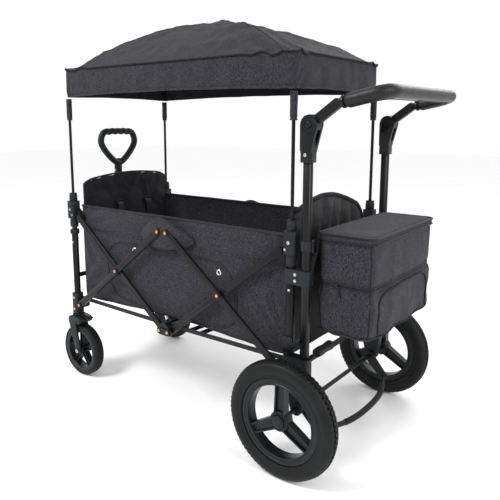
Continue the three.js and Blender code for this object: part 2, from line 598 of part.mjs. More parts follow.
// ---- Front casters ----
function casterFork(side) {
  const x = -LEG_X;
  const y = side * LEG_Y;
  const reach = ARM_IN + CASTER_ARM_T;
  const crown = plate(hullOutline([[x - 14, CASTER_CROWN_LOW + 11, 11],
    [x + 30, CASTER_CROWN_LOW + 11, 11], [x, CASTER_CROWN_TOP - 12, 12]]),
  layer(side, [LEG_Y - reach, LEG_Y + reach]));
  const boss = rod([x, y, CASTER_CROWN_TOP - 10], [x, y, BRACKET_LOW - GAP], 19, 20);
  const stem = rod([x, y, CASTER_CROWN_TOP - 10], [x, y, STEM_TOP - 1], STEM_R);
  const arms = [-1, 1].map((sign) => plate(
    hullOutline([[x - 6, CASTER_CROWN_LOW + 8, 18], [CASTER_X, CASTER_Z, 13]]),
    sign < 0 ? layer(side, [LEG_Y - ARM_IN - CASTER_ARM_T, LEG_Y - ARM_IN])
      : layer(side, [LEG_Y + ARM_IN, LEG_Y + ARM_IN + CASTER_ARM_T])));
  const axle = rod([CASTER_X, y - ARM_IN - CASTER_ARM_T - 3, CASTER_Z],
    [CASTER_X, y + ARM_IN + CASTER_ARM_T + 3, CASTER_Z], CASTER_AXLE_R);
  const wheelRoom = turned([[0, y - ARM_IN], [CASTER_R + 3, y - ARM_IN], [CASTER_R + 3, y + ARM_IN],
    [0, y + ARM_IN]], CASTER_X, CASTER_Z, 28);
  return join(cut(join(crown, boss, stem, ...arms), wheelRoom), axle);
}

function casterWheel(side) {
  const y = side * LEG_Y;
  const half = CASTER_W / 2;
  const ring = turned([[CASTER_RIM_IN_R, y - half + 4], [CASTER_RIM_R, y - half],
    [CASTER_R - 5, y - half + 3], [CASTER_R, y - half + 10], [CASTER_R, y + half - 10], [CASTER_R - 5, y + half - 3],
    [CASTER_RIM_R, y + half], [CASTER_RIM_IN_R, y + half - 4], [CASTER_RIM_IN_R, y - half + 4]],
  CASTER_X, CASTER_Z, 28);
  const hub = rod([CASTER_X, y - half, CASTER_Z], [CASTER_X, y + half, CASTER_Z], 15, 20);
  const spokes = [0, 1, 2, 3, 4].map((i) => {
    const a = ((90 + 72 * i) * Math.PI) / 180;
    const far = [CASTER_X + CASTER_RIM_IN_R * Math.cos(a), CASTER_Z + CASTER_RIM_IN_R * Math.sin(a)];
    return plate(hullOutline([[CASTER_X, CASTER_Z, 9], [...far, 7]]), layer(side, [LEG_Y - 7, LEG_Y + 7]));
  });
  const bore = rod([CASTER_X, y - CASTER_W, CASTER_Z], [CASTER_X, y + CASTER_W, CASTER_Z],
    CASTER_AXLE_R + GAP);
  return cut(join(ring, hub, ...spokes), bore);
}

// A foot lever behind the fork's crown that stops the swivel.
function swivelLock(side) {
  const x = -LEG_X + LOCK_BACK;
  const z = CASTER_CROWN_LOW + LOCK_RISE;
  return plate(hullOutline([[x, z + 2, 4], [x + 34, z - 3, 3]]), layer(side, [LEG_Y - 11, LEG_Y + 11]));
}

for (const [sideName, side] of SIDES) {
  add(`caster_fork_${sideName}`, casterFork(side), PLASTIC);
  add(`caster_wheel_${sideName}`, casterWheel(side), TYRE);
  add(`swivel_lock_${sideName}`, swivelLock(side), PLASTIC);
}

// ---- Pull handle ----
const pullAt = (z) => {
  const share = (z - YOKE_Z) / (PULL_GRIP_TOP - YOKE_Z);
  return [-YOKE_X + PULL_LEAN * share, 0, z];
};

// The cross tube at the front's foot with a clevis for the pull handle.
function pullYoke() {
  const tube = rod([-LEG_X, -CROSS_END, YOKE_Z], [-LEG_X, CROSS_END, YOKE_Z], CROSS_R);
  const ears = [-1, 1].map((sign) => plate(
    hullOutline([[-LEG_X, YOKE_Z, 10], [-YOKE_X, YOKE_Z, 12]]),
    sign < 0 ? [-PULL_OUTER_R - 7, -PULL_OUTER_R - 1] : [PULL_OUTER_R + 1, PULL_OUTER_R + 7]));
  const pin = rod([-YOKE_X, -PULL_OUTER_R - 9, YOKE_Z], [-YOKE_X, PULL_OUTER_R + 9, YOKE_Z], 4);
  return join(tube, ...ears, pin);
}

function pullOuterTube() {
  const foot = rod([-YOKE_X, -PULL_OUTER_R, YOKE_Z], [-YOKE_X, PULL_OUTER_R, YOKE_Z], 12, 20);
  const tube = rod(pullAt(YOKE_Z), pullAt(PULL_OUTER_TOP), PULL_OUTER_R);
  const collar = rod(pullAt(PULL_OUTER_TOP - 22), pullAt(PULL_OUTER_TOP + 4), PULL_OUTER_R + 3);
  const bore = rod(pullAt(PULL_INNER_LOW - 8), pullAt(PULL_OUTER_TOP + 12), PULL_INNER_R + GAP);
  const pinHole = rod([-YOKE_X, -30, YOKE_Z], [-YOKE_X, 30, YOKE_Z], 4 + GAP);
  return cut(join(foot, tube, collar), bore, pinHole);
}

// A D-shaped loop grip in the plane across the wagon.
function pullGrip() {
  const [x, , ] = pullAt(PULL_GRIP_TOP - PULL_GRIP_R);
  const halfW = PULL_GRIP_W / 2 - PULL_GRIP_R;
  const top = PULL_GRIP_TOP - PULL_GRIP_R;
  const neck = PULL_NECK + 28;
  const loop = new THREE.CatmullRomCurve3([[0, neck], [halfW * 0.55, neck + 26], [halfW, top - 42],
    [halfW * 0.86, top - 6], [halfW * 0.4, top], [-halfW * 0.4, top], [-halfW * 0.86, top - 6],
    [-halfW, top - 42], [-halfW * 0.55, neck + 26]].map(([y, z]) => new THREE.Vector3(x, y, z)), true);
  const neckRod = rod(pullAt(PULL_NECK - 12), [x, 0, neck + 8], PULL_GRIP_R, 14);
  const socket = rod(pullAt(PULL_NECK - 13), pullAt(PULL_NECK + 12 + GAP), PULL_INNER_R + GAP);
  return cut(join(swept(loop, 28, PULL_GRIP_R - 2, 8), neckRod), socket);
}

add('pull_yoke', pullYoke(), STEEL_BLACK);
add('pull_outer_tube', pullOuterTube(), STEEL_BLACK);
add('pull_inner_tube', rod(pullAt(PULL_INNER_LOW), pullAt(PULL_NECK + 12), PULL_INNER_R), STEEL_BLACK);
add('pull_grip', pullGrip(), PLASTIC);

// ---- Fabric tub, floor mat and seat back ----
function tub() {
  const shell = slab(roundRect(-TUB_X, -TUB_Y, TUB_X, TUB_Y, 16), TUB_LOW, TUB_TOP, 4);
  const room = slab(roundRect(-TUB_X + TUB_SKIN, -TUB_Y + TUB_SKIN, TUB_X - TUB_SKIN, TUB_Y - TUB_SKIN,
    16 - TUB_SKIN), TUB_LOW + TUB_SKIN, TUB_TOP + 1, 4);
  return cut(shell, room);
}

function floorMat() {
  const inset = TUB_SKIN + 4;
  const low = TUB_LOW + TUB_SKIN + GAP;
  return slab(roundRect(-TUB_X + inset, -TUB_Y + inset, TUB_X - inset, TUB_Y - inset, 20), low,
    low + MAT_THICK);
}

function seatBack() {
  const x = -TUB_X + TUB_SKIN + 1;
  const half = TUB_Y - TUB_SKIN - BACK_SIDE_ROOM;
  const low = TUB_LOW + TUB_SKIN + MAT_THICK + 6;
  return block([x, -half, low], [x + BACK_THICK, half, BACK_TOP]);
}

add('tub', tub(), FABRIC);
add('floor_mat', floorMat(), DARK_FABRIC);
add('seat_back', seatBack(), DARK_FABRIC);

// ---- Canopy ----
// A closed sheet of even thickness: a band all round and a roof that rises to its middle along
// four ribs from the corners.
function roofHeight(u, v) {
  const m = (Math.abs(u) ** 5 + Math.abs(v) ** 5) ** 0.2;
  return CANOPY_RISE * Math.max(0, 1 - Math.min(1, m) ** 1.75);
}

function canopyBody(inset) {
  const halfX = LEG_X + CANOPY_OVER_X - inset;
  const halfY = LEG_Y + CANOPY_OVER_Y - inset;
  const low = CANOPY_LOW - (inset > 0 ? 5 : 0);
  const positions = [];
  const at = (i, j, top) => {
    const u = (2 * i) / CANOPY_STEPS_X - 1;
    const v = (2 * j) / CANOPY_STEPS_Y - 1;
    return [u * halfX, v * halfY, top ? CANOPY_EDGE - inset + roofHeight(u, v) : low];
  };
  const quad = (a, b, c, d) => [a, b, c, a, c, d].forEach((p) => positions.push(...p));
  for (let i = 0; i < CANOPY_STEPS_X; i += 1) {
    for (let j = 0; j < CANOPY_STEPS_Y; j += 1) {
      quad(at(i, j, true), at(i + 1, j, true), at(i + 1, j + 1, true), at(i, j + 1, true));
      quad(at(i, j, false), at(i, j + 1, false), at(i + 1, j + 1, false), at(i + 1, j, false));
    }
  }
  for (let i = 0; i < CANOPY_STEPS_X; i += 1) {
    quad(at(i, 0, false), at(i + 1, 0, false), at(i + 1, 0, true), at(i, 0, true));
    const j = CANOPY_STEPS_Y;
    quad(at(i + 1, j, false), at(i, j, false), at(i, j, true), at(i + 1, j, true));
  }
  for (let j = 0; j < CANOPY_STEPS_Y; j += 1) {
    quad(at(0, j + 1, false), at(0, j, false), at(0, j, true), at(0, j + 1, true));
    const i = CANOPY_STEPS_X;
    quad(at(i, j, false), at(i, j + 1, false), at(i, j + 1, true), at(i, j, true));
  }
  const geometry = new THREE.BufferGeometry();
  geometry.setAttribute('position', new THREE.BufferAttribute(new Float32Array(positions), 3));
  return geometry;
}
add('canopy', cut(canopyBody(0), canopyBody(CANOPY_SKIN)), FABRIC);

// ---- Cooler bag ----
function bag() {
  const shell = slab(roundRect(BAG_FRONT_X, -BAG_HALF_Y, BAG_REAR_X, BAG_HALF_Y, BAG_CORNER), BAG_LOW,
    BAG_TOP - GAP);
  const room = slab(roundRect(BAG_FRONT_X + BAG_WALL, -BAG_HALF_Y + BAG_WALL, BAG_REAR_X - BAG_WALL,
    BAG_HALF_Y - BAG_WALL, BAG_CORNER - BAG_WALL), BAG_LOW + BAG_WALL, BAG_TOP + 1);
  return cut(shell, room);
}
add('cooler_bag', bag(), FABRIC);
add('bag_lid', slab(roundRect(BAG_FRONT_X, -BAG_HALF_Y, BAG_REAR_X, BAG_HALF_Y, BAG_CORNER), BAG_TOP,
  BAG_TOP + BAG_LID), FABRIC);

// The origin is on the ground below the middle of the whole wagon.
const reach = new THREE.Box3().setFromObject(wagon);
wagon.position.x = -(reach.min.x + reach.max.x) / 2;
wagon.position.z = -reach.min.z;

const model = new THREE.Group();
model.add(wagon);

export default model;
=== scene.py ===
# Looks for the folding stroller wagon: fine versions of the hard parts, fabric by mesh work and
# cloth simulation, procedural materials, camera, light and floor. Metres, in the CAD frame.
import math

import bmesh
import bpy
from mathutils import Matrix, Vector, noise


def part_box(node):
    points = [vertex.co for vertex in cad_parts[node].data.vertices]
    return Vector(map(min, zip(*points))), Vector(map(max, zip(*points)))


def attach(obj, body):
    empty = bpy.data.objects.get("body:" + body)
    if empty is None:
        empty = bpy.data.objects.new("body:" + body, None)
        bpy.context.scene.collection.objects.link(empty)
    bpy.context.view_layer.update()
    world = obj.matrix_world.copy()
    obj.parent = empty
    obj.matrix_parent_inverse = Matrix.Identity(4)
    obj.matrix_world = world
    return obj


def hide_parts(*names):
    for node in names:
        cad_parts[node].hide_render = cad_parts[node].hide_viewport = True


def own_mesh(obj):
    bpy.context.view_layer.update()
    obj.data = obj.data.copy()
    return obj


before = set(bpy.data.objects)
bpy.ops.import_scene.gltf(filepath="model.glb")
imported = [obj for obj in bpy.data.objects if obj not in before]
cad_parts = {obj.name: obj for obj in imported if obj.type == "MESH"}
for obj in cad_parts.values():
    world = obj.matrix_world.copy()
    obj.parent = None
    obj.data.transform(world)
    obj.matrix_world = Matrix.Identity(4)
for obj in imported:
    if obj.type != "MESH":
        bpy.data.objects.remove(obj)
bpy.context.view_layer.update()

NEAR, FAR = -1, 1
SIDES = (("left", NEAR), ("right", FAR))
ENDS = (("rear", 1), ("front", -1))
STITCH_PITCH = 0.0042          # from one stitch to the next
THREAD_R = 0.00034


# ---------------------------------------------------------------- places taken from the frame
def middle(node):
    lo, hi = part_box(node)
    return (lo + hi) / 2


MID_X = middle("lower_hub_frame").x            # the middle of the tub, between the posts
LEG = middle("rear_leg_right") - Vector((MID_X, 0, 0))
LEG_X, LEG_Y = LEG.x, LEG.y
TUB_LO, TUB_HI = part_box("tub")
RIM_Z = TUB_HI.z
BAR_OUT_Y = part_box("bar_rear_outer_right")[1].y
PIVOT_LOW_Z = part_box("bar_rear_outer_right")[0].z + 0.010
PIVOT_HIGH_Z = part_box("bar_rear_outer_right")[1].z - 0.010
AXLE = middle("rear_axle")
WHEEL_Y = middle("rear_tyre_right").y
WHEEL_R = middle("rear_tyre_right").z
CASTER = middle("caster_wheel_right")
CANOPY_LO, CANOPY_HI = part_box("canopy")


def at(x, y, z):
    """A point given from the middle of the tub."""
    return Vector((MID_X + x, y, z))


# ---------------------------------------------------------------- materials
class Nodes:
    """A material's node tree with short calls."""

    def __init__(self, name, **constants):
        self.material = bpy.data.materials.new(name)
        self.material.use_nodes = True
        self.tree = self.material.node_tree
        self.shader = self.tree.nodes["Principled BSDF"]
        for socket, value in constants.items():
            self.shader.inputs[socket.replace("_", " ")].default_value = value

    def node(self, kind, **settings):
        made = self.tree.nodes.new(kind)
        for key, value in settings.items():
            if key in made.inputs:
                made.inputs[key].default_value = value
            else:
                setattr(made, key, value)
        return made

    def link(self, a, b):
        self.tree.links.new(a, b)

    def coordinates(self, scale=(1, 1, 1), turn=(0, 0, 0)):
        source = self.node("ShaderNodeTexCoord")
        mapping = self.node("ShaderNodeMapping")
        mapping.inputs["Scale"].default_value = scale
        mapping.inputs["Rotation"].default_value = turn
        self.link(source.outputs["Object"], mapping.inputs["Vector"])
        return mapping.outputs["Vector"]

    def noise(self, scale, detail=2.0, stretch=(1, 1, 1), turn=(0, 0, 0)):
        made = self.node("ShaderNodeTexNoise", Scale=scale, Detail=detail)
        self.link(self.coordinates(stretch, turn), made.inputs["Vector"])
        return made.outputs["Fac"]

    def ramp(self, value, stops):
        made = self.node("ShaderNodeValToRGB")
        elements = made.color_ramp.elements
        while len(elements) < len(stops):
            elements.new(0.5)
        for element, (place, colour) in zip(elements, stops):
            element.position = place
            element.color = (*colour, 1)
        self.link(value, made.inputs["Fac"])
        return made.outputs["Color"]

    def mix(self, factor, a, b, blend="MIX"):
        made = self.node("ShaderNodeMix", data_type="RGBA", blend_type=blend)
        if isinstance(factor, float):
            made.inputs[0].default_value = factor
        else:
            self.link(factor, made.inputs[0])
        for value, socket in ((a, made.inputs[6]), (b, made.inputs[7])):
            if isinstance(value, tuple):
                socket.default_value = (*value, 1)
            else:
                self.link(value, socket)
        return made.outputs[2]

    def add(self, *values, weights):
        total = None
        for value, weight in zip(values, weights):
            scaled = self.node("ShaderNodeMath", operation="MULTIPLY")
            self.link(value, scaled.inputs[0])
            scaled.inputs[1].default_value = weight
            if total is None:
                total = scaled.outputs[0]
                continue
            joined = self.node("ShaderNodeMath", operation="ADD")
            self.link(total, joined.inputs[0])
            self.link(scaled.outputs[0], joined.inputs[1])
            total = joined.outputs[0]
        return total

    def colour(self, value):
        self.link(value, self.shader.inputs["Base Color"])

    def roughness(self, value, low, high):
        spread = self.node("ShaderNodeMapRange")
        spread.inputs["To Min"].default_value = low
        spread.inputs["To Max"].default_value = high
        self.link(value, spread.inputs["Value"])
        self.link(spread.outputs["Result"], self.shader.inputs["Roughness"])

    def bump(self, height, strength, distance=0.001):
        made = self.node("ShaderNodeBump", Strength=strength, Distance=distance)
        self.link(height, made.inputs["Height"])
        self.link(made.outputs["Normal"], self.shader.inputs["Normal"])

    def weave(self, pitch, turn=(0, 0, 0)):
        """Over and under threads in all three planes, as a height."""
        waves = []
        for axis in ("X", "Y", "Z"):
            made = self.node("ShaderNodeTexWave", wave_type="BANDS", bands_direction=axis,
                             Scale=0.314 / pitch, Distortion=0.6, Detail=1.0)
            made.inputs["Detail Scale"].default_value = 2.0
            self.link(self.coordinates(turn=turn), made.inputs["Vector"])
            waves.append(made.outputs["Fac"])
        return self.add(*waves, weights=(0.34, 0.34, 0.34))


def heather(name, dark, mid, light, roughness=0.92, flecks=(950, 620)):
    """Woven polyester of mixed dark and light yarns."""
    m = Nodes(name, Roughness=roughness, Sheen_Weight=0.06, Sheen_Roughness=0.5,
              Specular_IOR_Level=0.18)
    along = m.noise(flecks[0], 2.0, (0.32, 1, 1))
    down = m.noise(flecks[1], 3.0, (1, 1, 0.36))
    patches = m.noise(26, 4.0)
    yarn = m.add(along, down, weights=(0.5, 0.5))
    tone = m.ramp(yarn, ((0.40, dark), (0.50, mid), (0.60, light)))
    shade = m.ramp(patches, ((0.3, (0.86, 0.86, 0.88)), (0.7, (1.0, 1.0, 1.0))))
    m.colour(m.mix(1.0, tone, shade, "MULTIPLY"))
    m.bump(m.add(m.weave(0.0009), yarn, patches, weights=(0.5, 0.6, 1.6)), 0.6, 0.0010)
    return m.material


def padding_cloth(name, colour, light, roughness=0.85):
    m = Nodes(name, Roughness=roughness, Sheen_Weight=0.04, Specular_IOR_Level=0.22)
    fine = m.noise(700, 2.0)
    broad = m.noise(30, 4.0)
    m.colour(m.ramp(m.add(fine, broad, weights=(0.5, 0.5)), ((0.38, colour), (0.66, light))))
    m.bump(m.add(m.weave(0.0011), broad, weights=(0.6, 1.2)), 0.5, 0.001)
    return m.material


def coated_nylon(name):
    m = Nodes(name, Specular_IOR_Level=0.4, Coat_Weight=0.06, Coat_Roughness=0.3)
    folds = m.noise(24, 5.0, (1, 0.5, 1))
    fine = m.noise(260, 2.0)
    m.colour(m.ramp(folds, ((0.35, (0.004, 0.004, 0.005)), (0.7, (0.012, 0.012, 0.015)))))
    m.roughness(fine, 0.40, 0.58)
    m.bump(m.add(folds, fine, weights=(1.5, 0.15)), 0.6, 0.004)
    return m.material


def coated_metal(name, colour, light, low=0.28, high=0.46):
    """Powder coat: fine orange peel, a little dust and paler worn patches."""
    m = Nodes(name, Specular_IOR_Level=0.2, Coat_Weight=0.03, Coat_Roughness=0.2)
    peel = m.noise(900, 1.0)
    dust = m.noise(18, 5.0)
    m.colour(m.ramp(dust, ((0.36, colour), (0.72, light))))
    m.roughness(m.add(peel, dust, weights=(0.35, 0.65)), low, high)
    m.bump(peel, 0.12, 0.0004)
    return m.material


def moulded(name, colour, light, low=0.42, high=0.6, grain=1500):
    m = Nodes(name, Specular_IOR_Level=0.24)
    pits = m.node("ShaderNodeTexVoronoi", Scale=grain)
    m.link(m.coordinates(), pits.inputs["Vector"])
    broad = m.noise(22, 4.0)
    m.colour(m.ramp(broad, ((0.35, colour), (0.7, light))))
    m.roughness(broad, low, high)
    m.bump(pits.outputs["Distance"], 0.22, 0.0004)
    return m.material


def rubber(name, colour, light):
    m = Nodes(name, Specular_IOR_Level=0.2)
    fine = m.noise(600, 3.0)
    scuffs = m.noise(34, 6.0, (1, 2, 1))
    m.colour(m.ramp(scuffs, ((0.38, colour), (0.74, light))))
    m.roughness(m.add(fine, scuffs, weights=(0.4, 0.6)), 0.42, 0.7)
    m.bump(fine, 0.25, 0.0005)
    return m.material


def bare_metal(name, colour, roughness=0.3):
    m = Nodes(name, Metallic=1.0)
    brushed = m.noise(400, 3.0, (1, 8, 1))
    pale = tuple(min(1.0, c * 1.35) for c in colour)
    m.colour(m.ramp(brushed, ((0.35, colour), (0.7, pale))))
    m.roughness(brushed, roughness * 0.75, roughness * 1.35)
    m.bump(brushed, 0.08, 0.0003)
    return m.material


def leather_look(name):
    m = Nodes(name, Specular_IOR_Level=0.26, Coat_Weight=0.06, Coat_Roughness=0.25)
    grain = m.node("ShaderNodeTexVoronoi", Scale=520, feature="DISTANCE_TO_EDGE")
    m.link(m.coordinates(), grain.inputs["Vector"])
    creases = m.noise(60, 4.0, (1, 0.4, 1))
    m.colour(m.ramp(creases, ((0.35, (0.0028, 0.0028, 0.0034)), (0.75, (0.0075, 0.0075, 0.0088)))))
    m.roughness(creases, 0.3, 0.48)
    m.bump(m.add(grain.outputs["Distance"], creases, weights=(2.0, 0.6)), 0.35, 0.0008)
    return m.material


FABRIC = heather("charcoal_heather", (0.006, 0.0058, 0.0080), (0.0195, 0.0185, 0.0240),
                 (0.055, 0.0525, 0.0650))
FABRIC_TOP = heather("charcoal_heather_roof", (0.006, 0.0058, 0.0078), (0.0175, 0.0168, 0.0215),
                     (0.047, 0.0445, 0.0555))
LINING = padding_cloth("black_padded_lining", (0.0045, 0.0042, 0.0055), (0.0125, 0.0118, 0.015))
WEBBING = padding_cloth("black_webbing", (0.006, 0.006, 0.007), (0.015, 0.015, 0.017), 0.6)
PIPING = padding_cloth("black_piping", (0.004, 0.004, 0.005), (0.010, 0.010, 0.012), 0.55)
NYLON = coated_nylon("coated_black_nylon")
STEEL = coated_metal("satin_black_frame", (0.0022, 0.0024, 0.0028), (0.0060, 0.0064, 0.0072))
PLASTIC = moulded("moulded_slate_plastic", (0.0050, 0.0064, 0.0078), (0.0100, 0.0124, 0.0146))
GLOSS = moulded("black_handle_plastic", (0.0022, 0.0026, 0.0032), (0.0055, 0.0062, 0.0074), 0.2, 0.34, 900)
RIM = moulded("wheel_plastic", (0.0038, 0.0048, 0.0058), (0.0080, 0.0096, 0.0112), 0.26, 0.40)
TYRE = rubber("tyre_rubber", (0.0030, 0.0033, 0.0037), (0.0075, 0.0080, 0.0088))
LEATHER = leather_look("black_grip_cover")
BOLT = bare_metal("zinc_bolt", (0.42, 0.41, 0.39))
COPPER = bare_metal("bronze_rivet", (0.40, 0.26, 0.17), 0.35)
EYELET = bare_metal("eyelet_ring", (0.55, 0.54, 0.52), 0.22)


# ---------------------------------------------------------------- mesh building
class Mesh:
    """Collects the faces of one piece."""

    def __init__(self):
        self.bm = bmesh.new()

    def ring(self, points):
        return [self.bm.verts.new(p) for p in points]

    def bridge(self, a, b, closed=True):
        count = len(a)
        for i in range(count if closed else count - 1):
            j = (i + 1) % count
            self.bm.faces.new((a[i], a[j], b[j], b[i]))

    def cap(self, ring, flip=False):
        self.bm.faces.new(list(reversed(ring)) if flip else ring)

    def grid(self, rows, columns, place, wrap=False):
        """A sheet whose point (i, j) is place(i, j); wrap closes it across the columns."""
        lines = [self.ring([place(i, j) for j in range(columns)]) for i in range(rows)]
        for a, b in zip(lines, lines[1:]):
            self.bridge(a, b, wrap)
        return lines

    def tube(self, points, radius, sides=16, closed=False, flat=1.0, up=None):
        """A round or oval section carried along the points, with ends closed."""
        points = [Vector(p) for p in points]
        count = len(points)
        rings = []
        side = None
        for i, p in enumerate(points):
            before = points[i - 1] if i or closed else p
            after = points[(i + 1) % count] if i < count - 1 or closed else p
            along = (after - before).normalized()
            if side is None:
                guide = up or (Vector((0, 0, 1)) if abs(along.z) < 0.9 else Vector((1, 0, 0)))
                side = along.cross(guide).normalized()
            side = (side - along * side.dot(along)).normalized()
            other = along.cross(side)
            r = radius[i] if hasattr(radius, "__len__") else radius
            rings.append(self.ring([p + side * (r * math.cos(a)) + other * (r * flat * math.sin(a))
                                    for a in (2 * math.pi * k / sides for k in range(sides))]))
        for a, b in zip(rings, rings[1:]):
            self.bridge(a, b)
        if closed:
            self.bridge(rings[-1], rings[0])
        else:
            self.cap(rings[0], True)
            self.cap(rings[-1])
        return self

    def turned(self, profile, centre, axis, sides=48, closed=False):
        """The profile of (radius, height) turned about the axis through the centre."""
        axis = Vector(axis).normalized()
        side = axis.orthogonal().normalized()
        other = axis.cross(side)
        centre = Vector(centre)
        rings = []
        for r, h in profile:
            if r < 1e-6:
                rings.append([self.bm.verts.new(centre + axis * h)])
                continue
            rings.append(self.ring([
                centre + axis * h + side * (r * math.cos(a)) + other * (r * math.sin(a))
                for a in (2 * math.pi * k / sides for k in range(sides))]))
        pairs = list(zip(rings, rings[1:]))
        if closed:
            pairs.append((rings[-1], rings[0]))
        for a, b in pairs:
            self.join_rings(a, b)
        return self

    def join_rings(self, a, b):
        if len(a) == 1 and len(b) == 1:
            return
        if len(a) > 1 and len(b) > 1:
            self.bridge(a, b)
            return
        tip, ring = (a[0], b) if len(a) == 1 else (b[0], a)
        for i, v in enumerate(ring):
            w = ring[(i + 1) % len(ring)]
            self.bm.faces.new((tip, w, v) if len(a) == 1 else (tip, v, w))

    def prism(self, outline, low, high, plane="xz"):
        """An outline of 2D points made thick from low to high along the third axis."""
        place = {"xz": lambda p, d: (p[0], d, p[1]), "xy": lambda p, d: (p[0], p[1], d),
                 "yz": lambda p, d: (d, p[0], p[1])}[plane]
        a = self.ring([place(p, low) for p in outline])
        b = self.ring([place(p, high) for p in outline])
        self.bridge(a, b)
        self.cap(a, True)
        self.cap(b)
        return self

    def block(self, low, high):
        corners = [(low[0], low[1]), (high[0], low[1]), (high[0], high[1]), (low[0], high[1])]
        return self.prism(corners, low[2], high[2], "xy")

    def copy_of(self, node):
        """The faceted solid of a CAD node, its flat faces made whole again."""
        self.bm.from_mesh(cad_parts[node].data)
        bmesh.ops.remove_doubles(self.bm, verts=self.bm.verts, dist=1e-5)
        bmesh.ops.dissolve_limit(self.bm, angle_limit=math.radians(1.5), verts=self.bm.verts,
                                 edges=self.bm.edges)
        return self

    def object(self, name):
        bmesh.ops.recalc_face_normals(self.bm, faces=self.bm.faces)
        data = bpy.data.meshes.new(name)
        self.bm.to_mesh(data)
        self.bm.free()
        made = bpy.data.objects.new(name, data)
        bpy.context.scene.collection.objects.link(made)
        return made

    def loft(self, rings):
        """A closed form through the rings, capped at both ends."""
        for a, b in zip(rings, rings[1:]):
            self.bridge(a, b)
        self.cap(rings[0], True)
        self.cap(rings[-1])


def finish_piece(made, body, material, replaces=(), bevel=0.0, angle=32, steps=2):
    data = made.data
    data.materials.clear()
    data.materials.append(material)
    data.shade_smooth()
    if bevel:
        edge = made.modifiers.new("edges", "BEVEL")
        edge.width = bevel
        edge.segments = steps
        edge.limit_method = "ANGLE"
        edge.angle_limit = math.radians(angle)
        edge.harden_normals = True
    else:
        data.set_sharp_from_angle(angle=math.radians(angle))
    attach(made, body)
    if replaces:
        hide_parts(*replaces)
    return made


def piece(name, mesh, body, material, replaces=(), bevel=0.0, angle=32, steps=2):
    return finish_piece(mesh.object(name), body, material, replaces, bevel, angle, steps)


def lined_piece(made, body, material, replaces, angle):
    """A piece whose faces are already sorted into outer cloth (0) and lining (1)."""
    indices = [p.material_index for p in made.data.polygons]
    finish_piece(made, body, material, replaces, angle=angle)
    made.data.materials.append(LINING)
    made.data.polygons.foreach_set("material_index", indices)


def arc(centre, radius, start, end, count):
    return [(centre[0] + radius * math.cos(math.radians(start + (end - start) * i / (count - 1))),
             centre[1] + radius * math.sin(math.radians(start + (end - start) * i / (count - 1))))
            for i in range(count)]


def rounded(x0, z0, x1, z1, r, count=7):
    return (arc((x1 - r, z1 - r), r, 0, 90, count) + arc((x0 + r, z1 - r), r, 90, 180, count)
            + arc((x0 + r, z0 + r), r, 180, 270, count) + arc((x1 - r, z0 + r), r, 270, 360, count))


def smooth_path(points, per_span=8, closed=False):
    """A Catmull-Rom curve through the points."""
    points = [Vector(p) for p in points]
    count = len(points)
    out = []
    for i in range(count if closed else count - 1):
        if closed:
            a, b, c, d = (points[(i + k) % count] for k in (-1, 0, 1, 2))
        else:
            a, b = points[max(i - 1, 0)], points[i]
            c, d = points[i + 1], points[min(i + 2, count - 1)]
        for k in range(per_span):
            t = k / per_span
            out.append(0.5 * (2 * b + (c - a) * t + (2 * a - 5 * b + 4 * c - d) * t * t
                              + (3 * b - a - 3 * c + d) * t ** 3))
    if not closed:
        out.append(points[-1])
    return out


def wobble(p, scale, seed=0.0):
    """Smooth noise from -1 to 1."""
    return noise.noise(Vector(p) * scale + Vector((seed, seed * 1.7, seed * 0.6)))


def crumple(p, scale, seed=0.0, octaves=3):
    """Creased cloth: sharp folds with smooth cloth between them."""
    total, weight = 0.0, 1.0
    for k in range(octaves):
        total += weight * (1.0 - 2.4 * abs(wobble(p, scale * 2 ** k, seed + 3.1 * k)))
        weight *= 0.5
    return total / 1.75


def stitch_run(mesh, a, b, start):
    """Threads in line from a to b; start is how far into its pitch each one begins."""
    n = max(1, int((b - a).length / STITCH_PITCH))
    for q in range(n):
        mesh.tube([a.lerp(b, (q + start) / n), a.lerp(b, (q + start + 0.6) / n)], THREAD_R, 5)


# ---------------------------------------------------------------- hard parts made from the CAD solids
def detailed(node, body, material, bevel, angle=28, steps=2):
    return piece(f"{node}_fine", Mesh().copy_of(node), body, material, (node,), bevel, angle, steps)


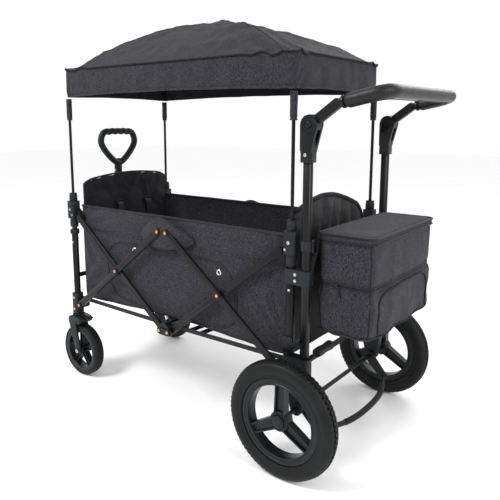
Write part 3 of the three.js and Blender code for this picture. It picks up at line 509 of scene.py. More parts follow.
for side, s in SIDES:
    for end, e in ENDS:
        uppers = f"{end}_uppers"
        detailed(f"top_slider_{end}_{side}", uppers, PLASTIC, 0.0022, 40, 3)
        for layer_name in ("outer", "inner"):
            detailed(f"bar_{end}_{layer_name}_{side}", f"{end}_{layer_name}_bars", STEEL,
                     0.0011, 40)
        leg_body = "rear_frame" if end == "rear" else "front_frame"
        lo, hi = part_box(f"{end}_leg_{side}")
        x, y = (lo.x + hi.x) / 2, (lo.y + hi.y) / 2
        piece(f"{end}_leg_{side}_fine", Mesh().turned(
            [(0.0094, lo.z), (0.011, lo.z + 0.0008), (0.011, hi.z - 0.0008), (0.0105, hi.z), (0.0094, hi.z),
             (0.0094, hi.z - 0.02)], (x, y, 0), (0, 0, 1), 32), leg_body, STEEL,
            (f"{end}_leg_{side}",), angle=50)
        lo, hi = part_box(f"canopy_pole_{end}_{side}")
        pole = Mesh().turned([(0, lo.z), (0.0045, lo.z), (0.0045, hi.z - 0.010), (0, hi.z - 0.010)],
                             (x, y, 0), (0, 0, 1), 24)
        piece(f"canopy_pole_{end}_{side}_fine", pole, uppers, STEEL,
              (f"canopy_pole_{end}_{side}",), angle=50)
        # The cloth sleeve that takes the pole, crumpled by its own stitching.
        low = hi.z - 0.069

        def sleeve_point(i, j, x=x, y=y, low=low, top=hi.z):
            a = 2 * math.pi * j / 40
            z = low + (top - low) * i / 30
            r = 1 + 0.10 * crumple((x * 3 + math.cos(a) * 0.05, y * 3 + math.sin(a) * 0.05, z), 24, 4)
            squeeze = 0.88 if i in (2, 3) else 1.0
            c, d = math.cos(a), math.sin(a)
            return (x + 0.0082 * r * squeeze * math.copysign(abs(c) ** 0.6, c),
                    y + 0.0068 * r * squeeze * math.copysign(abs(d) ** 0.6, d), z)
        sleeve = Mesh()
        rows = sleeve.grid(31, 40, sleeve_point, True)
        sleeve.cap(rows[0], True)
        sleeve.cap(rows[-1])
        piece(f"pole_sleeve_{end}_{side}", sleeve, uppers, FABRIC_TOP, angle=70)
    detailed(f"top_hub_{side}", "top_hubs", PLASTIC, 0.002, 40, 3)
    detailed(f"mid_clamp_{side}", "rear_frame", PLASTIC, 0.0032, 50, 3)
    detailed(f"rear_bracket_{side}", "rear_frame", PLASTIC, 0.0026, 50, 3)
    detailed(f"front_bracket_{side}", "front_frame", PLASTIC, 0.0026, 50, 3)
    detailed(f"handle_hinge_{side}", "rear_frame", GLOSS, 0.0022, 40, 3)
    detailed(f"caster_fork_{side}", f"caster_{side}", PLASTIC, 0.0022, 40, 3)
    detailed(f"swivel_lock_{side}", f"swivel_lock_{side}", GLOSS, 0.0016, 40, 3)
    lo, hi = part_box(f"handle_post_{side}")
    x, y = (lo.x + hi.x) / 2, (lo.y + hi.y) / 2
    piece(f"handle_post_{side}_fine", Mesh().turned(
        [(0, lo.z), (0.0112, lo.z), (0.012, lo.z + 0.0008), (0.012, hi.z - 0.0008), (0.0112, hi.z),
         (0, hi.z)],
        (x, y, 0), (0, 0, 1), 36), "rear_frame", STEEL, (f"handle_post_{side}",), angle=50)
detailed("lower_hub_frame", "lower_hub", STEEL, 0.0014, 40)
detailed("pull_yoke", "front_frame", STEEL, 0.0014, 40)
detailed("foot_brake", "foot_brake", STEEL, 0.002, 45, 3)
detailed("push_bar", "push_handle", STEEL, 0.0022, 45, 3)

lo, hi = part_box("rear_cross_tube")
piece("rear_cross_tube_fine", Mesh().tube([((lo.x + hi.x) / 2, y, (lo.z + hi.z) / 2) for y in (lo.y, hi.y)],
                                          0.008, 32), "rear_frame", STEEL,
      ("rear_cross_tube",), 0.0008, 50)
lo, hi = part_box("rear_axle")
piece("rear_axle_fine", Mesh().tube([(AXLE.x, y, AXLE.z) for y in (lo.y, hi.y)], 0.006, 32), "rear_frame",
      STEEL, ("rear_axle",), 0.0008, 50)
# The tube between the front posts, halfway up their open length.
piece("front_cross_tube",
      Mesh().tube([at(-LEG_X, y, 0.352) for y in (-LEG_Y + 0.008, LEG_Y - 0.008)], 0.008, 32),
      "front_frame", STEEL, angle=50)


# ---------------------------------------------------------------- fixings
def dome(centre, axis, r, h, sides=28):
    """A low round head standing on centre, looking along axis."""
    return [(0.0, h), (r * 0.45, h * 0.93), (r * 0.8, h * 0.68), (r * 0.96, h * 0.34), (r, 0.0),
            (0.0, 0.0)], \
        centre, axis, sides


def rivet_set(name, body, places, axis, r, h, material):
    mesh = Mesh()
    for p in places:
        mesh.turned(*dome(p, axis, r, h))
    return piece(name, mesh, body, material, angle=60)


def screw(mesh, centre, axis, r, h):
    """A hexagon socket screw's round head."""
    socket = r * 0.45
    mesh.turned([(0.0, h * 0.35), (socket, h * 0.35), (socket, h * 0.96), (r * 0.86, h), (r, h * 0.8),
                 (r, 0.0),
                 (0.0, 0.0)], centre, axis, 24)


for side, s in SIDES:
    out = (0, s, 0)
    y = s * (BAR_OUT_Y - 0.0005)
    for end, e in ENDS:
        px, cx = e * (LEG_X - 0.032), e * 0.017
        mx, mz = (px + cx) / 2, (PIVOT_LOW_Z + PIVOT_HIGH_Z) / 2
        rivet_set(f"bar_rivets_{end}_{side}", f"{end}_outer_bars",
                  [at(px, y + s * 0.0025, PIVOT_LOW_Z), at(cx, y + s * 0.0025, PIVOT_HIGH_Z),
                   at(mx, y + s * 0.0025, mz)], out, 0.0050, 0.0012, COPPER)
        rings = Mesh()
        for rx, rz in ((px, PIVOT_LOW_Z), (cx, PIVOT_HIGH_Z), (mx, mz)):
            rings.turned([(0.0066, 0), (0.0088, 0), (0.0092, 0.0008), (0.0088, 0.0014), (0.0066, 0.0014)],
                         at(rx, y, rz), out, 32, True)
        piece(f"bar_washers_{end}_{side}", rings, f"{end}_outer_bars", PLASTIC, angle=50)
        # Spring button and screw on the sliding posts' clamps.
        spot = Mesh()
        screw(spot, at(e * LEG_X, s * (LEG_Y + 0.0159), 0.584), out, 0.0044, 0.0016)
        screw(spot, at(e * (LEG_X - 0.010), s * (LEG_Y + 0.0159), 0.566), out, 0.0032, 0.0012)
        piece(f"clamp_screws_{end}_{side}", spot, f"{end}_uppers", BOLT, angle=40)
        cap = Mesh().turned([(0.0052, 0.001), (0.0118, 0.0), (0.0134, 0.003), (0.0134, 0.012),
                             (0.0126, 0.022),
                             (0.0098, 0.0256), (0.0052, 0.0262)], at(e * LEG_X, s * LEG_Y, 0.6125),
                             (0, 0, 1), 36, True)
        piece(f"pole_socket_{end}_{side}", cap, f"{end}_uppers", PLASTIC, angle=40)
        leg_body = "rear_frame" if end == "rear" else "front_frame"
        button = Mesh()
        button.turned(*dome(at(e * LEG_X, s * (LEG_Y + 0.0104), 0.470 if e < 0 else 0.462), out, 0.0036,
                            0.0022))
        piece(f"post_button_{end}_{side}", button, leg_body, BOLT, angle=50)
        collar = Mesh().turned([(0.0112, 0), (0.0146, 0.0), (0.0152, 0.0014), (0.0152, 0.0130),
                                (0.0140, 0.0152),
                                (0.0112, 0.0152)], at(e * LEG_X, s * LEG_Y, 0.4995 if e < 0 else 0.5005),
                                (0, 0, 1),
                               36, True)
        if e < 0:
            piece(f"post_collar_{end}_{side}", collar, leg_body, PLASTIC, angle=40)
        else:
            collar.bm.free()
    spots = Mesh()
    for sx, sz in ((LEG_X + 0.021, 0.507), (LEG_X + 0.021, 0.491)):
        screw(spots, at(sx, s * (LEG_Y + 0.0158), sz), out, 0.0040, 0.0018)
    screw(spots, at(LEG_X + 0.043, s * (LEG_Y + 0.0158), 0.800), out, 0.0040, 0.0016)
    screw(spots, at(LEG_X + 0.043, s * (LEG_Y + 0.0158), 0.262), out, 0.0044, 0.0018)
    screw(spots, at(LEG_X, s * (LEG_Y + 0.0158), 0.262), out, 0.0044, 0.0018)
    piece(f"rear_screws_{side}", spots, "rear_frame", BOLT, angle=40)
    spots = Mesh()
    screw(spots, at(-LEG_X, s * (LEG_Y + 0.0158), 0.275), out, 0.0044, 0.0018)
    screw(spots, at(-LEG_X, s * (LEG_Y + 0.0158), 0.235), out, 0.0044, 0.0018)
    piece(f"front_screws_{side}", spots, "front_frame", BOLT, angle=40)
    rivet_set(f"lower_hub_rivets_{side}", "lower_hub",
              [at(q, s * (BAR_OUT_Y + 0.0021), PIVOT_LOW_Z) for q in (-0.017, 0.017)], out, 0.0048, 0.0012,
              COPPER)
    plate_cover = Mesh().prism([(MID_X + a, b) for a, b in rounded(-0.026, 0.2455, 0.026, 0.2645, 0.0094, 9)],
                               s * (BAR_OUT_Y + 0.0002), s * (BAR_OUT_Y + 0.0012))
    piece(f"lower_hub_cover_{side}", plate_cover, "lower_hub", PLASTIC, bevel=0.0004, angle=50)

# ---------------------------------------------------------------- rear wheels
for side, s in SIDES:
    centre = Vector((AXLE.x, s * WHEEL_Y, WHEEL_R))
    half = 0.0224
    tyre = Mesh()
    # Tyre body with two side beads and a groove either side of the middle tread, then the tread blocks.
    tyre.turned([(0.1114, -0.0186), (0.1155, -0.0206), (0.1195, -0.0198), (0.1215, -0.0212),
                 (0.1330, -0.0224),
                 (0.1415, -0.0208), (0.1456, -0.0178), (0.1480, -0.0144), (0.1497, -0.0118),
                 (0.1497, -0.0086),
                 (0.1468, -0.0074), (0.1468, -0.0052), (0.1500, -0.0044), (0.1502, 0.0), (0.1500, 0.0044),
                 (0.1468, 0.0052), (0.1468, 0.0074), (0.1497, 0.0086), (0.1497, 0.0118), (0.1480, 0.0144),
                 (0.1456, 0.0178), (0.1415, 0.0208), (0.1330, 0.0224), (0.1215, 0.0212), (0.1195, 0.0198),
                 (0.1155, 0.0206), (0.1114, 0.0186)], centre, (0, 1, 0), 144, True)
    blocks = 72
    for k in range(blocks):
        a = 2 * math.pi * k / blocks
        for row, (y0, y1, r0, r1, lead) in enumerate((
                (-0.0045, 0.0045, 0.1495, 0.1524, 0.0), (0.0072, 0.0168, 0.1458, 0.1512, 0.45),
                (-0.0168, -0.0072, 0.1458, 0.1512, 0.45))):
            mid = a + lead * 2 * math.pi / blocks
            span = 2 * math.pi / blocks * (0.70 if row else 0.78) / 2
            corners = []
            for y_, tip in ((y0, 0), (y1, 0)):
                for d in (-1, 1):
                    skew = 0.010 * (y_ / 0.016)
                    for r_ in (r0, r1 - (0.0034 if abs(y_) > 0.015 else 0.0)):
                        ang = mid + d * span * (1.0 if r_ == r0 else 0.88) + skew
                        corners.append(centre + Vector((r_ * math.cos(ang), y_, r_ * math.sin(ang))))
            v = [tyre.bm.verts.new(p) for p in corners]
            for f in ((0, 2, 3, 1), (4, 5, 7, 6), (0, 1, 5, 4), (2, 6, 7, 3), (1, 3, 7, 5), (0, 4, 6, 2)):
                tyre.bm.faces.new([v[q] for q in f])
    piece(f"rear_tyre_{side}_fine", tyre, f"rear_wheel_{side}", TYRE, (f"rear_tyre_{side}",),
          angle=34)

    rim = Mesh()
    rim.turned([(0.0920, -0.0160), (0.0935, -0.0168), (0.1095, -0.0168), (0.1108, -0.0160), (0.1108, 0.0160),
                (0.1095, 0.0170), (0.1040, 0.0170), (0.1020, 0.0150), (0.0975, 0.0146), (0.0955, 0.0166),
                (0.0928, 0.0166), (0.0920, 0.0150), (0.0920, 0.0)],
               centre, (0, s, 0), 96, True)
    rim.turned([(0.0066, -0.0165), (0.0200, -0.0168), (0.0232, -0.0150), (0.0262, 0.0), (0.0262, 0.0120),
                (0.0250, 0.0150), (0.0210, 0.0150), (0.0066, 0.0150)], centre, (0, s, 0), 64, True)
    for k in range(3):
        a = math.radians(90 + 120 * k)
        radial, across = Vector((math.cos(a), 0, math.sin(a))), Vector((-math.sin(a), 0, math.cos(a)))
        out = Vector((0, s, 0))

        # A broad spoke: two side ribs joined by a sunk web.
        def strip(c0, c1, w0, w1, low, high, start=0.020, stop=0.0945):
            rings = []
            for i in range(9):
                t = i / 8
                r = start + (stop - start) * t
                lean = c0 + (c1 - c0) * t
                w = (w0 + (w1 - w0) * t) / 2
                flare = 1 + 0.5 * max(0.0, (t - 0.8) / 0.2) ** 2
                base = centre + radial * r
                rings.append(rim.ring([base + across * (lean - w * flare) + out * low,
                                       base + across * (lean + w * flare) + out * low,
                                       base + across * (lean + w * flare) + out * high,
                                       base + across * (lean - w * flare) + out * high]))
            rim.loft(rings)
        for sign in (-1, 1):
            strip(sign * 0.0135, sign * 0.0108, 0.0048, 0.0042, -0.0085, 0.0135)
        strip(0, 0, 0.0285, 0.0230, -0.0030, 0.0072)
    piece(f"rear_rim_{side}_fine", rim, f"rear_wheel_{side}", RIM, (f"rear_rim_{side}",),
          0.0008, 40, 2)
    cap = Mesh().turned([(0.0, 0.0215), (0.010, 0.0214), (0.0142, 0.0206), (0.0165, 0.0188), (0.0172, 0.0148),
                         (0.0, 0.0148)], centre, (0, s, 0), 48)
    cap.turned([(0.0178, 0.0150), (0.0212, 0.0150), (0.0216, 0.0164), (0.0196, 0.0176), (0.0178, 0.0168)],
               centre,
               (0, s, 0), 48, True)
    piece(f"wheel_cap_{side}", cap, f"rear_wheel_{side}", GLOSS, angle=40)

# ---------------------------------------------------------------- front casters
for side, s in SIDES:
    centre = Vector((CASTER.x, s * LEG_Y, CASTER.z))
    tyre = Mesh()
    tyre.turned([(0.0762, -0.0178), (0.0800, -0.0186), (0.0848, -0.0176), (0.0878, -0.0150),
                 (0.0893, -0.0110),
                 (0.0899, -0.0070), (0.0886, -0.0064), (0.0886, -0.0052), (0.0899, -0.0046), (0.09, 0.0),
                 (0.0899, 0.0046), (0.0886, 0.0052), (0.0886, 0.0064), (0.0899, 0.0070), (0.0893, 0.0110),
                 (0.0878, 0.0150), (0.0848, 0.0176), (0.0800, 0.0186), (0.0762, 0.0178)], centre, (0, 1, 0),
                 96, True)
    piece(f"caster_tyre_{side}", tyre, f"caster_wheel_{side}", TYRE, angle=30)
    wheel = Mesh()
    wheel.turned([(0.0625, -0.0150), (0.0640, -0.0166), (0.0740, -0.0178), (0.0761, -0.0172),
                  (0.0761, 0.0172),
                  (0.0740, 0.0178), (0.0700, 0.0168), (0.0680, 0.0140), (0.0640, 0.0150), (0.0625, 0.0150),
                  (0.0625, 0.0)], centre, (0, 1, 0), 80, True)
    wheel.turned([(0.0046, -0.0186), (0.0130, -0.0186), (0.0148, -0.0170), (0.0150, 0.0), (0.0148, 0.0170),
                  (0.0130, 0.0186), (0.0046, 0.0186)], centre, (0, 1, 0), 48, True)
    for k in range(5):
        a = math.radians(90 + 72 * k)
        radial, across = Vector((math.cos(a), 0, math.sin(a))), Vector((-math.sin(a), 0, math.cos(a)))
        for c, w, h in ((0.0, 0.0150, 0.0035), (-0.0068, 0.0030, 0.0100), (0.0068, 0.0030, 0.0100)):
            rings = []
            for i in range(6):
                t = i / 5
                base = centre + radial * (0.013 + 0.0515 * t)
                width = w * (1.1 - 0.25 * t) / 2
                lean = c * (1.1 - 0.3 * t)
                rings.append(wheel.ring([base + across * (lean - width) + Vector((0, -h, 0)),
                                         base + across * (lean + width) + Vector((0, -h, 0)),
                                         base + across * (lean + width) + Vector((0, h, 0)),
                                         base + across * (lean - width) + Vector((0, h, 0))]))
            wheel.loft(rings)
    piece(f"caster_rim_{side}", wheel, f"caster_wheel_{side}", RIM, (f"caster_wheel_{side}",),
          0.0007, 40, 2)
    bolts = Mesh()
    for facing in (-1, 1):
        screw(bolts, centre + Vector((0, facing * 0.0295, 0)), (0, facing, 0), 0.0068, 0.0034)
    piece(f"caster_bolts_{side}", bolts, f"caster_{side}", BOLT, angle=40)
    boss = Mesh().turned([(0.0, 0.0), (0.0196, 0.0), (0.0205, 0.0012), (0.0205, 0.0034), (0.0190, 0.0042),
                          (0.0, 0.0042)], at(-LEG_X, s * LEG_Y, 0.2108), (0, 0, 1), 48)
    piece(f"caster_race_{side}", boss, f"caster_{side}", GLOSS, angle=40)

# ---------------------------------------------------------------- push handle
HINGE = middle("handle_button_right")
for side, s in SIDES:
    centre = Vector((HINGE.x, s * (LEG_Y + 0.0160), HINGE.z))
    ring = Mesh().turned([(0.0096, -0.001), (0.0205, -0.001), (0.0212, 0.0004), (0.0205, 0.0018),
                          (0.0125, 0.0024),
                          (0.0100, 0.0018)], centre, (0, s, 0), 64, True)
    piece(f"handle_ring_{side}", ring, "rear_frame", GLOSS, angle=40)
    lo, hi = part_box(f"handle_button_{side}")
    out_y = hi.y if s > 0 else lo.y
    reach = abs(hi.y - lo.y)
    button = Mesh().turned([(0.0, 0.0), (0.0062, -0.0001), (0.0078, -0.0009), (0.0086, -0.0026),
                            (0.0088, -reach),
                            (0.0, -reach)], (HINGE.x, out_y, HINGE.z), (0, s, 0), 48)
    button.turned([(0.0030, 0.0002), (0.0048, 0.0006), (0.0054, 0.0001), (0.0048, -0.0004)],
                  (HINGE.x, out_y, HINGE.z), (0, s, 0), 40, True)
    piece(f"handle_button_{side}_fine", button, f"handle_button_{side}", GLOSS,
          (f"handle_button_{side}",), angle=40)

lo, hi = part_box("push_grip")
GRIP_R = 0.017
ax = HINGE.x + 0.0665
az = HINGE.z + 0.0475
fx = HINGE.x + 0.1835
fz = HINGE.z + 0.0725


def handle_path(count=26):
    """The grip's centre line from one arm's end round to the other's."""
    corners = [Vector((ax, -LEG_Y, az)), Vector((fx, -LEG_Y, fz)), Vector((fx, LEG_Y, fz)),
               Vector((ax, LEG_Y, az))]
    path = [corners[0]]
    bend = 0.048
    for i in (1, 2):
        back = corners[i] + (corners[i - 1] - corners[i]).normalized() * bend
        ahead = corners[i] + (corners[i + 1] - corners[i]).normalized() * bend
        start = path[-1]
        steps = 14 if i == 1 else 44
        path += [start.lerp(back, k / steps) for k in range(1, steps + 1)]
        for k in range(1, count):
            t = k / count
            path.append(back * (1 - t) ** 2 + corners[i] * 2 * t * (1 - t) + ahead * t * t)
        path.append(ahead)
    start = path[-1]
    path += [start.lerp(corners[3], k / 14) for k in range(1, 15)]
    return path


path = [p for p in handle_path() if p.x >= ax + 0.0160]
radii = []
for i, p in enumerate(path):
    end_dist = min((p - path[0]).length, (p - path[-1]).length)
    r = GRIP_R - 0.0008 + 0.0004 * wobble(p, 40, 3)
    if end_dist < 0.006:
        r *= 0.80 + 0.20 * math.sqrt(max(0.0, end_dist / 0.006))
    radii.append(r)
grip = Mesh().tube(path, radii, 32)
for v in grip.bm.verts:
    v.co += Vector((0, 0, 0.00035 * crumple(v.co, 55, 2)))
piece("push_grip_fine", grip, "push_handle", LEATHER, ("push_grip",), angle=70)
# The cover's raised seam along the underside, with its stitches.
seam_line = [p + Vector((-0.004, 0, -GRIP_R - 0.0002)) for p in path[3:-3]]
piece("push_grip_seam", Mesh().tube(seam_line, 0.0011, 8), "push_handle", LEATHER, angle=70)
stitches = Mesh()
for a, b in zip(seam_line[::1], seam_line[1::1]):
    if (b - a).length > 0.003:
        stitches.tube([a.lerp(b, 0.15) + Vector((0, 0, -0.0009)), a.lerp(b, 0.7) + Vector((0, 0, -0.0009))],
                      0.0005, 6)
piece("push_grip_stitches", stitches, "push_handle", WEBBING, angle=70)
for side, s in SIDES:
    band = Mesh().tube([(ax + 0.0125, s * LEG_Y, az + 0.0125 * (fz - az) / (fx - ax)),
                        (ax + 0.0185, s * LEG_Y, az + 0.0185 * (fz - az) / (fx - ax))], 0.0150, 32)
    piece(f"push_grip_end_{side}", band, "push_handle", GLOSS, bevel=0.001, angle=50)

# ---------------------------------------------------------------- pull handle
YOKE = Vector((MID_X - 0.475, 0, 0.262))
LEAN = 0.018 / (0.856 - 0.262)


def pull_at(z):
    return Vector((YOKE.x + LEAN * (z - YOKE.z), 0, z))


tube = Mesh().tube([pull_at(0.262), pull_at(0.620)], 0.011, 32)
tube.tube([YOKE + Vector((0, -0.011, 0)), YOKE + Vector((0, 0.011, 0))], 0.012, 40)
piece("pull_outer_tube_fine", tube, "pull_tube", STEEL, ("pull_outer_tube",), 0.0008, 50)
collar = Mesh()
along = (pull_at(0.7) - pull_at(0.6)).normalized()
collar.turned([(0.0084, 0.0), (0.0128, 0.0), (0.0139, 0.0012), (0.0139, 0.0230), (0.0130, 0.0256),
               (0.0084, 0.0262)],
              pull_at(0.598), along, 40, True)
piece("pull_collar", collar, "pull_tube", PLASTIC, angle=40)
piece("pull_inner_tube_fine", Mesh().tube([pull_at(0.335), pull_at(0.712)], 0.008, 32), "pull_grip",
      STEEL, ("pull_inner_tube",), 0.0008, 50)
lo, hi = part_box("pull_grip")
grip_x = pull_at(0.842).x
half_w = 0.077
loop = smooth_path([Vector((grip_x, y, z)) for y, z in (
    (0, 0.728), (half_w * 0.55, 0.754), (half_w, 0.800), (half_w * 0.86, 0.836), (half_w * 0.4, 0.842),
    (0, 0.842), (-half_w * 0.4, 0.842), (-half_w * 0.86, 0.836), (-half_w, 0.800), (-half_w * 0.55, 0.754))],
    12, True)
grip = Mesh()
radii = []
for p in loop:
    finger = 0.0011 * math.cos(p.y * 2 * math.pi / 0.026) if p.z > 0.83 and abs(p.y) < 0.055 else 0.0
    radii.append(0.0116 - 0.0004 + finger * 0.6)
grip.tube(loop, radii, 24, closed=True, up=Vector((1, 0, 0)))
for v in grip.bm.verts:
    if 0.818 < v.co.z < 0.842 and abs(v.co.y) < 0.056:
        v.co.z += 0.0022 * math.cos(v.co.y * 2 * math.pi / 0.027) * (0.842 - v.co.z) / 0.012
piece("pull_grip_fine", grip, "pull_grip", PLASTIC, ("pull_grip",), angle=60)
neck = Mesh()
neck.turned([(0.0085, 0.0), (0.0132, 0.0), (0.0140, 0.0014), (0.0140, 0.0330), (0.0124, 0.0440),
             (0.0, 0.0450)],
            pull_at(0.688), along, 40)
neck.prism([(y, z) for y,
            z in ((-0.026, 0.7395), (-0.012, 0.727), (0.012, 0.727), (0.026, 0.7395), (0.014, 0.744),
                                (-0.014, 0.744))], grip_x - 0.0045, grip_x + 0.0045, "yz")
piece("pull_grip_neck", neck, "pull_grip", PLASTIC, bevel=0.0009, angle=40)
spot = Mesh()
screw(spot, pull_at(0.702) + Vector((0, -0.0138, 0)), (0, -1, 0), 0.004, 0.0016)
screw(spot, pull_at(0.702) + Vector((0, 0.0138, 0)), (0, 1, 0), 0.004, 0.0016)
piece("pull_grip_screws", spot, "pull_grip", BOLT, angle=40)

# ---------------------------------------------------------------- foot brake, fold hook, feet of the frame
for side, s in SIDES:
    ey = s * (LEG_Y - 0.0165)
    pad = Mesh().prism([(MID_X + a, b) for a, b in rounded(0.500, 0.088, 0.521, 0.108, 0.006)],
                       s * (LEG_Y - 0.0275), s * (LEG_Y - 0.0155))
    piece(f"brake_housing_{side}", pad, "foot_brake", PLASTIC, bevel=0.003, angle=50,
          steps=3)
    hook = Mesh().prism([(MID_X + a, b) for a, b in (
        (LEG_X - 0.014, 0.300), (LEG_X + 0.014, 0.300), (LEG_X + 0.018, 0.312), (LEG_X + 0.034, 0.330),
        (LEG_X + 0.041, 0.346), (LEG_X + 0.036, 0.349), (LEG_X + 0.026, 0.338), (LEG_X + 0.014, 0.330),
        (LEG_X + 0.012, 0.342), (LEG_X - 0.014, 0.342))],
        s * (LEG_Y + 0.0118), s * (LEG_Y + 0.0170))
    if s < 0:
        piece(f"fold_hook_{side}", hook, "rear_frame", GLOSS, bevel=0.0016, angle=40,
              steps=3)
    else:
        hook.bm.free()
rubber_feet = Mesh()
bow = smooth_path([Vector((MID_X + x, y, z)) for x, y, z in (
    (0.515, -0.1995, 0.097), (0.547, -0.0998, 0.0914), (0.555, 0, 0.090), (0.547, 0.0998, 0.0914),
    (0.515, 0.1995, 0.097))], 16)
rubber_feet.tube(bow[14:-14], 0.0082, 24)
piece("brake_pad_sleeve", rubber_feet, "foot_brake", TYRE, bevel=0.001, angle=50)


# ---------------------------------------------------------------- fabric tub
WALL_SEAM_Z = 0.518            # the seam that runs along the side wall below the rim


def folds_up(made):
    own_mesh(made)
    return made


HALF_X, HALF_Y = (TUB_HI.x - TUB_LO.x) / 2, (TUB_HI.y - TUB_LO.y) / 2


def tub_outline(count_x=150, count_y=70, corner=0.022, corner_steps=8):
    """Points (x, y, outward) round the tub, from its rear near corner along the near side."""
    pts = []
    hx, hy, r = HALF_X, HALF_Y, corner

    def edge(a, b, n, out):
        for k in range(n):
            t = k / n
            pts.append((a[0] + (b[0] - a[0]) * t, a[1] + (b[1] - a[1]) * t, out))

    def bend(cx, cy, start):
        for k in range(corner_steps):
            a = math.radians(start - 90 * k / corner_steps)
            pts.append((cx + r * math.cos(a), cy + r * math.sin(a), (math.cos(a), math.sin(a))))
    edge((hx - r, -hy), (-hx + r, -hy), count_x, (0, -1))
    bend(-hx + r, -hy + r, 270)
    edge((-hx, -hy + r), (-hx, hy - r), count_y, (-1, 0))
    bend(-hx + r, hy - r, 180)
    edge((-hx + r, hy), (hx - r, hy), count_x, (0, 1))
    bend(hx - r, hy - r, 90)
    edge((hx, hy - r), (hx, -hy + r), count_y, (1, 0))
    bend(hx - r, -hy + r, 0)
    return pts


def side_bulge(x, z):
    """How far a side wall stands out from flat between its fastenings, in metres."""
    along = max(0.0, 1 - (x / HALF_X) ** 2)
    t = (z - TUB_LO.z) / (RIM_Z - TUB_LO.z)
    upright = math.sin(math.pi * min(1.0, max(0.0, t))) ** 0.8
    rib = math.exp(-((x / 0.035) ** 2)) * 0.0015
    return 0.0050 * along ** 0.5 * upright - rib


def lower_edge(x):
    """The side wall's lower edge dips at its ends and arches over the middle hub."""
    t = x / HALF_X
    return 0.285 + 0.012 * math.exp(-(t / 0.35) ** 2) - 0.006 * t * t


POCKET = smooth_path([Vector((x, 0, z)) for x, z in (
    (-0.262, 0.474), (-0.215, 0.493), (-0.05, 0.4975), (0.10, 0.4955), (0.196, 0.488), (0.238, 0.455),
    (0.253, 0.40),
    (0.251, 0.35), (0.232, 0.316), (0.180, 0.301), (0.076, 0.2925), (-0.10, 0.2965), (-0.218, 0.307),
    (-0.262, 0.331), (-0.280, 0.39), (-0.281, 0.445))], 10, True)


def wall_relief(x, z, seed):
    """Wrinkles of the side wall: soft folds, drag lines from the corners and puckers at the seams."""
    p = (x, z, seed)
    value = 0.0034 * crumple((x * 1.0, z * 1.5, seed), 7, seed)
    for cx, cz in ((HALF_X, RIM_Z - 0.05), (-HALF_X, RIM_Z - 0.05), (HALF_X, TUB_LO.z), (-HALF_X, TUB_LO.z)):
        dx, dz = x - cx, z - cz
        d = math.hypot(dx, dz)
        a = math.atan2(dz, dx)
        value += 0.0032 * math.exp(-((d - 0.08) / 0.085) ** 2) * math.sin(a * 15 + 9 * wobble(p, 6, seed + 2))
    pucker = math.exp(-((z - WALL_SEAM_Z) / 0.010) ** 2)
    value += 0.0009 * pucker * math.sin(x * 420 + 6 * wobble((x, seed, 0), 14))
    value -= 0.0013 * math.exp(-((z - WALL_SEAM_Z) / 0.0022) ** 2)
    return value


WALL_ROWS = 46
EYELET_PLACES = ((0.193, 0.463), (-0.152, 0.478))
OUTLINE = tub_outline()
SKIN = 0.004
RIM_ROOM = 0.004


def tub_point(i, j, inner=False):
    x, y, (ox, oy) = OUTLINE[j]
    on_side = abs(oy) > 0.99
    low = lower_edge(x) if on_side else 0.285 - 0.006
    t = i / (WALL_ROWS - 1)
    z = low + (RIM_Z - RIM_ROOM - low) * t
    out = -0.0016
    if on_side:
        fade = min(1.0, (HALF_X - abs(x)) / 0.05)
        out += (side_bulge(x, z) + wall_relief(x, z, 1.0 if oy < 0 else 5.0)) * max(0.0, fade)
    else:
        out += 0.0009 * crumple((y, z, ox), 9, 2)
        hem = max(0.0, 1 - (z - low) / 0.02)
        out -= 0.002 * hem
    if inner:
        out = -SKIN - 0.0010 + (side_bulge(x, z) * 0.8 if on_side else 0.0)
        # Wavy quilting of the padded inner wall.
        wave = math.sin((z - 0.30) * 40 + 2.2 * math.sin(x * 9.0) + (y * 6 if not on_side else 0))
        out += 0.0020 * abs(wave) ** 0.6 + 0.0012 * crumple((x, y, z), 12, 7)
        out -= 0.0012
    return Vector((MID_X + x + ox * out, y + oy * out, z))


tub = Mesh()
outer = tub.grid(WALL_ROWS, len(OUTLINE), lambda i, j: tub_point(i, j), True)
inner = tub.grid(WALL_ROWS, len(OUTLINE), lambda i,
                 j: tub_point(i, j, True) + Vector((0, 0, 0.004 if i == 0 else 0)),
                 True)
tub.bridge(outer[-1], inner[-1])
tub.cap(outer[0], True)
tub.cap(inner[0])
tub.bm.faces.ensure_lookup_table()
for face in tub.bm.faces:
    face.normal_update()
    at_end = abs(face.calc_center_median().x - MID_X) > HALF_X - 0.012
    face.material_index = 1 if at_end or abs(face.normal.z) > 0.7 else 0
made = tub.object("tub_cloth")
lined_piece(made, "rear_frame", FABRIC, ("tub",), angle=70)
folds_up(made)

# Rim binding, rolled over the top edge of the wall.
rim_line = [Vector((MID_X + x + ox * -0.0025, y + oy * -0.0025,
                    RIM_Z - 0.0050 + 0.0008 * wobble((x, y, 0), 9))) for x, y, (ox, oy) in OUTLINE]
for k, p in enumerate(rim_line):
    x, y, (ox, oy) = OUTLINE[k]
    if abs(oy) > 0.99:
        p.y += oy * side_bulge(x, RIM_Z - 0.008) * 0.5
folds_up(piece("tub_rim_binding", Mesh().tube(rim_line, 0.0046, 12, closed=True, flat=1.0), "rear_frame",
               WEBBING, angle=70))


# ---------------------------------------------------------------- trim on the side walls
def wall_at(x, z, s, lift=0.0):
    """A point on the outer side wall."""
    fade = max(0.0, min(1.0, (HALF_X - abs(x)) / 0.05))
    out = -0.0016 + (side_bulge(x, z) + wall_relief(x, z, 1.0 if s < 0 else 5.0)) * fade
    return Vector((MID_X + x, s * (HALF_Y + out + lift), z))


def seam(mesh, points, s, radius=0.0010, lift=0.0004, closed=False):
    mesh.tube([wall_at(p[0], p[-1], s, lift) for p in points], radius, 8, closed=closed)


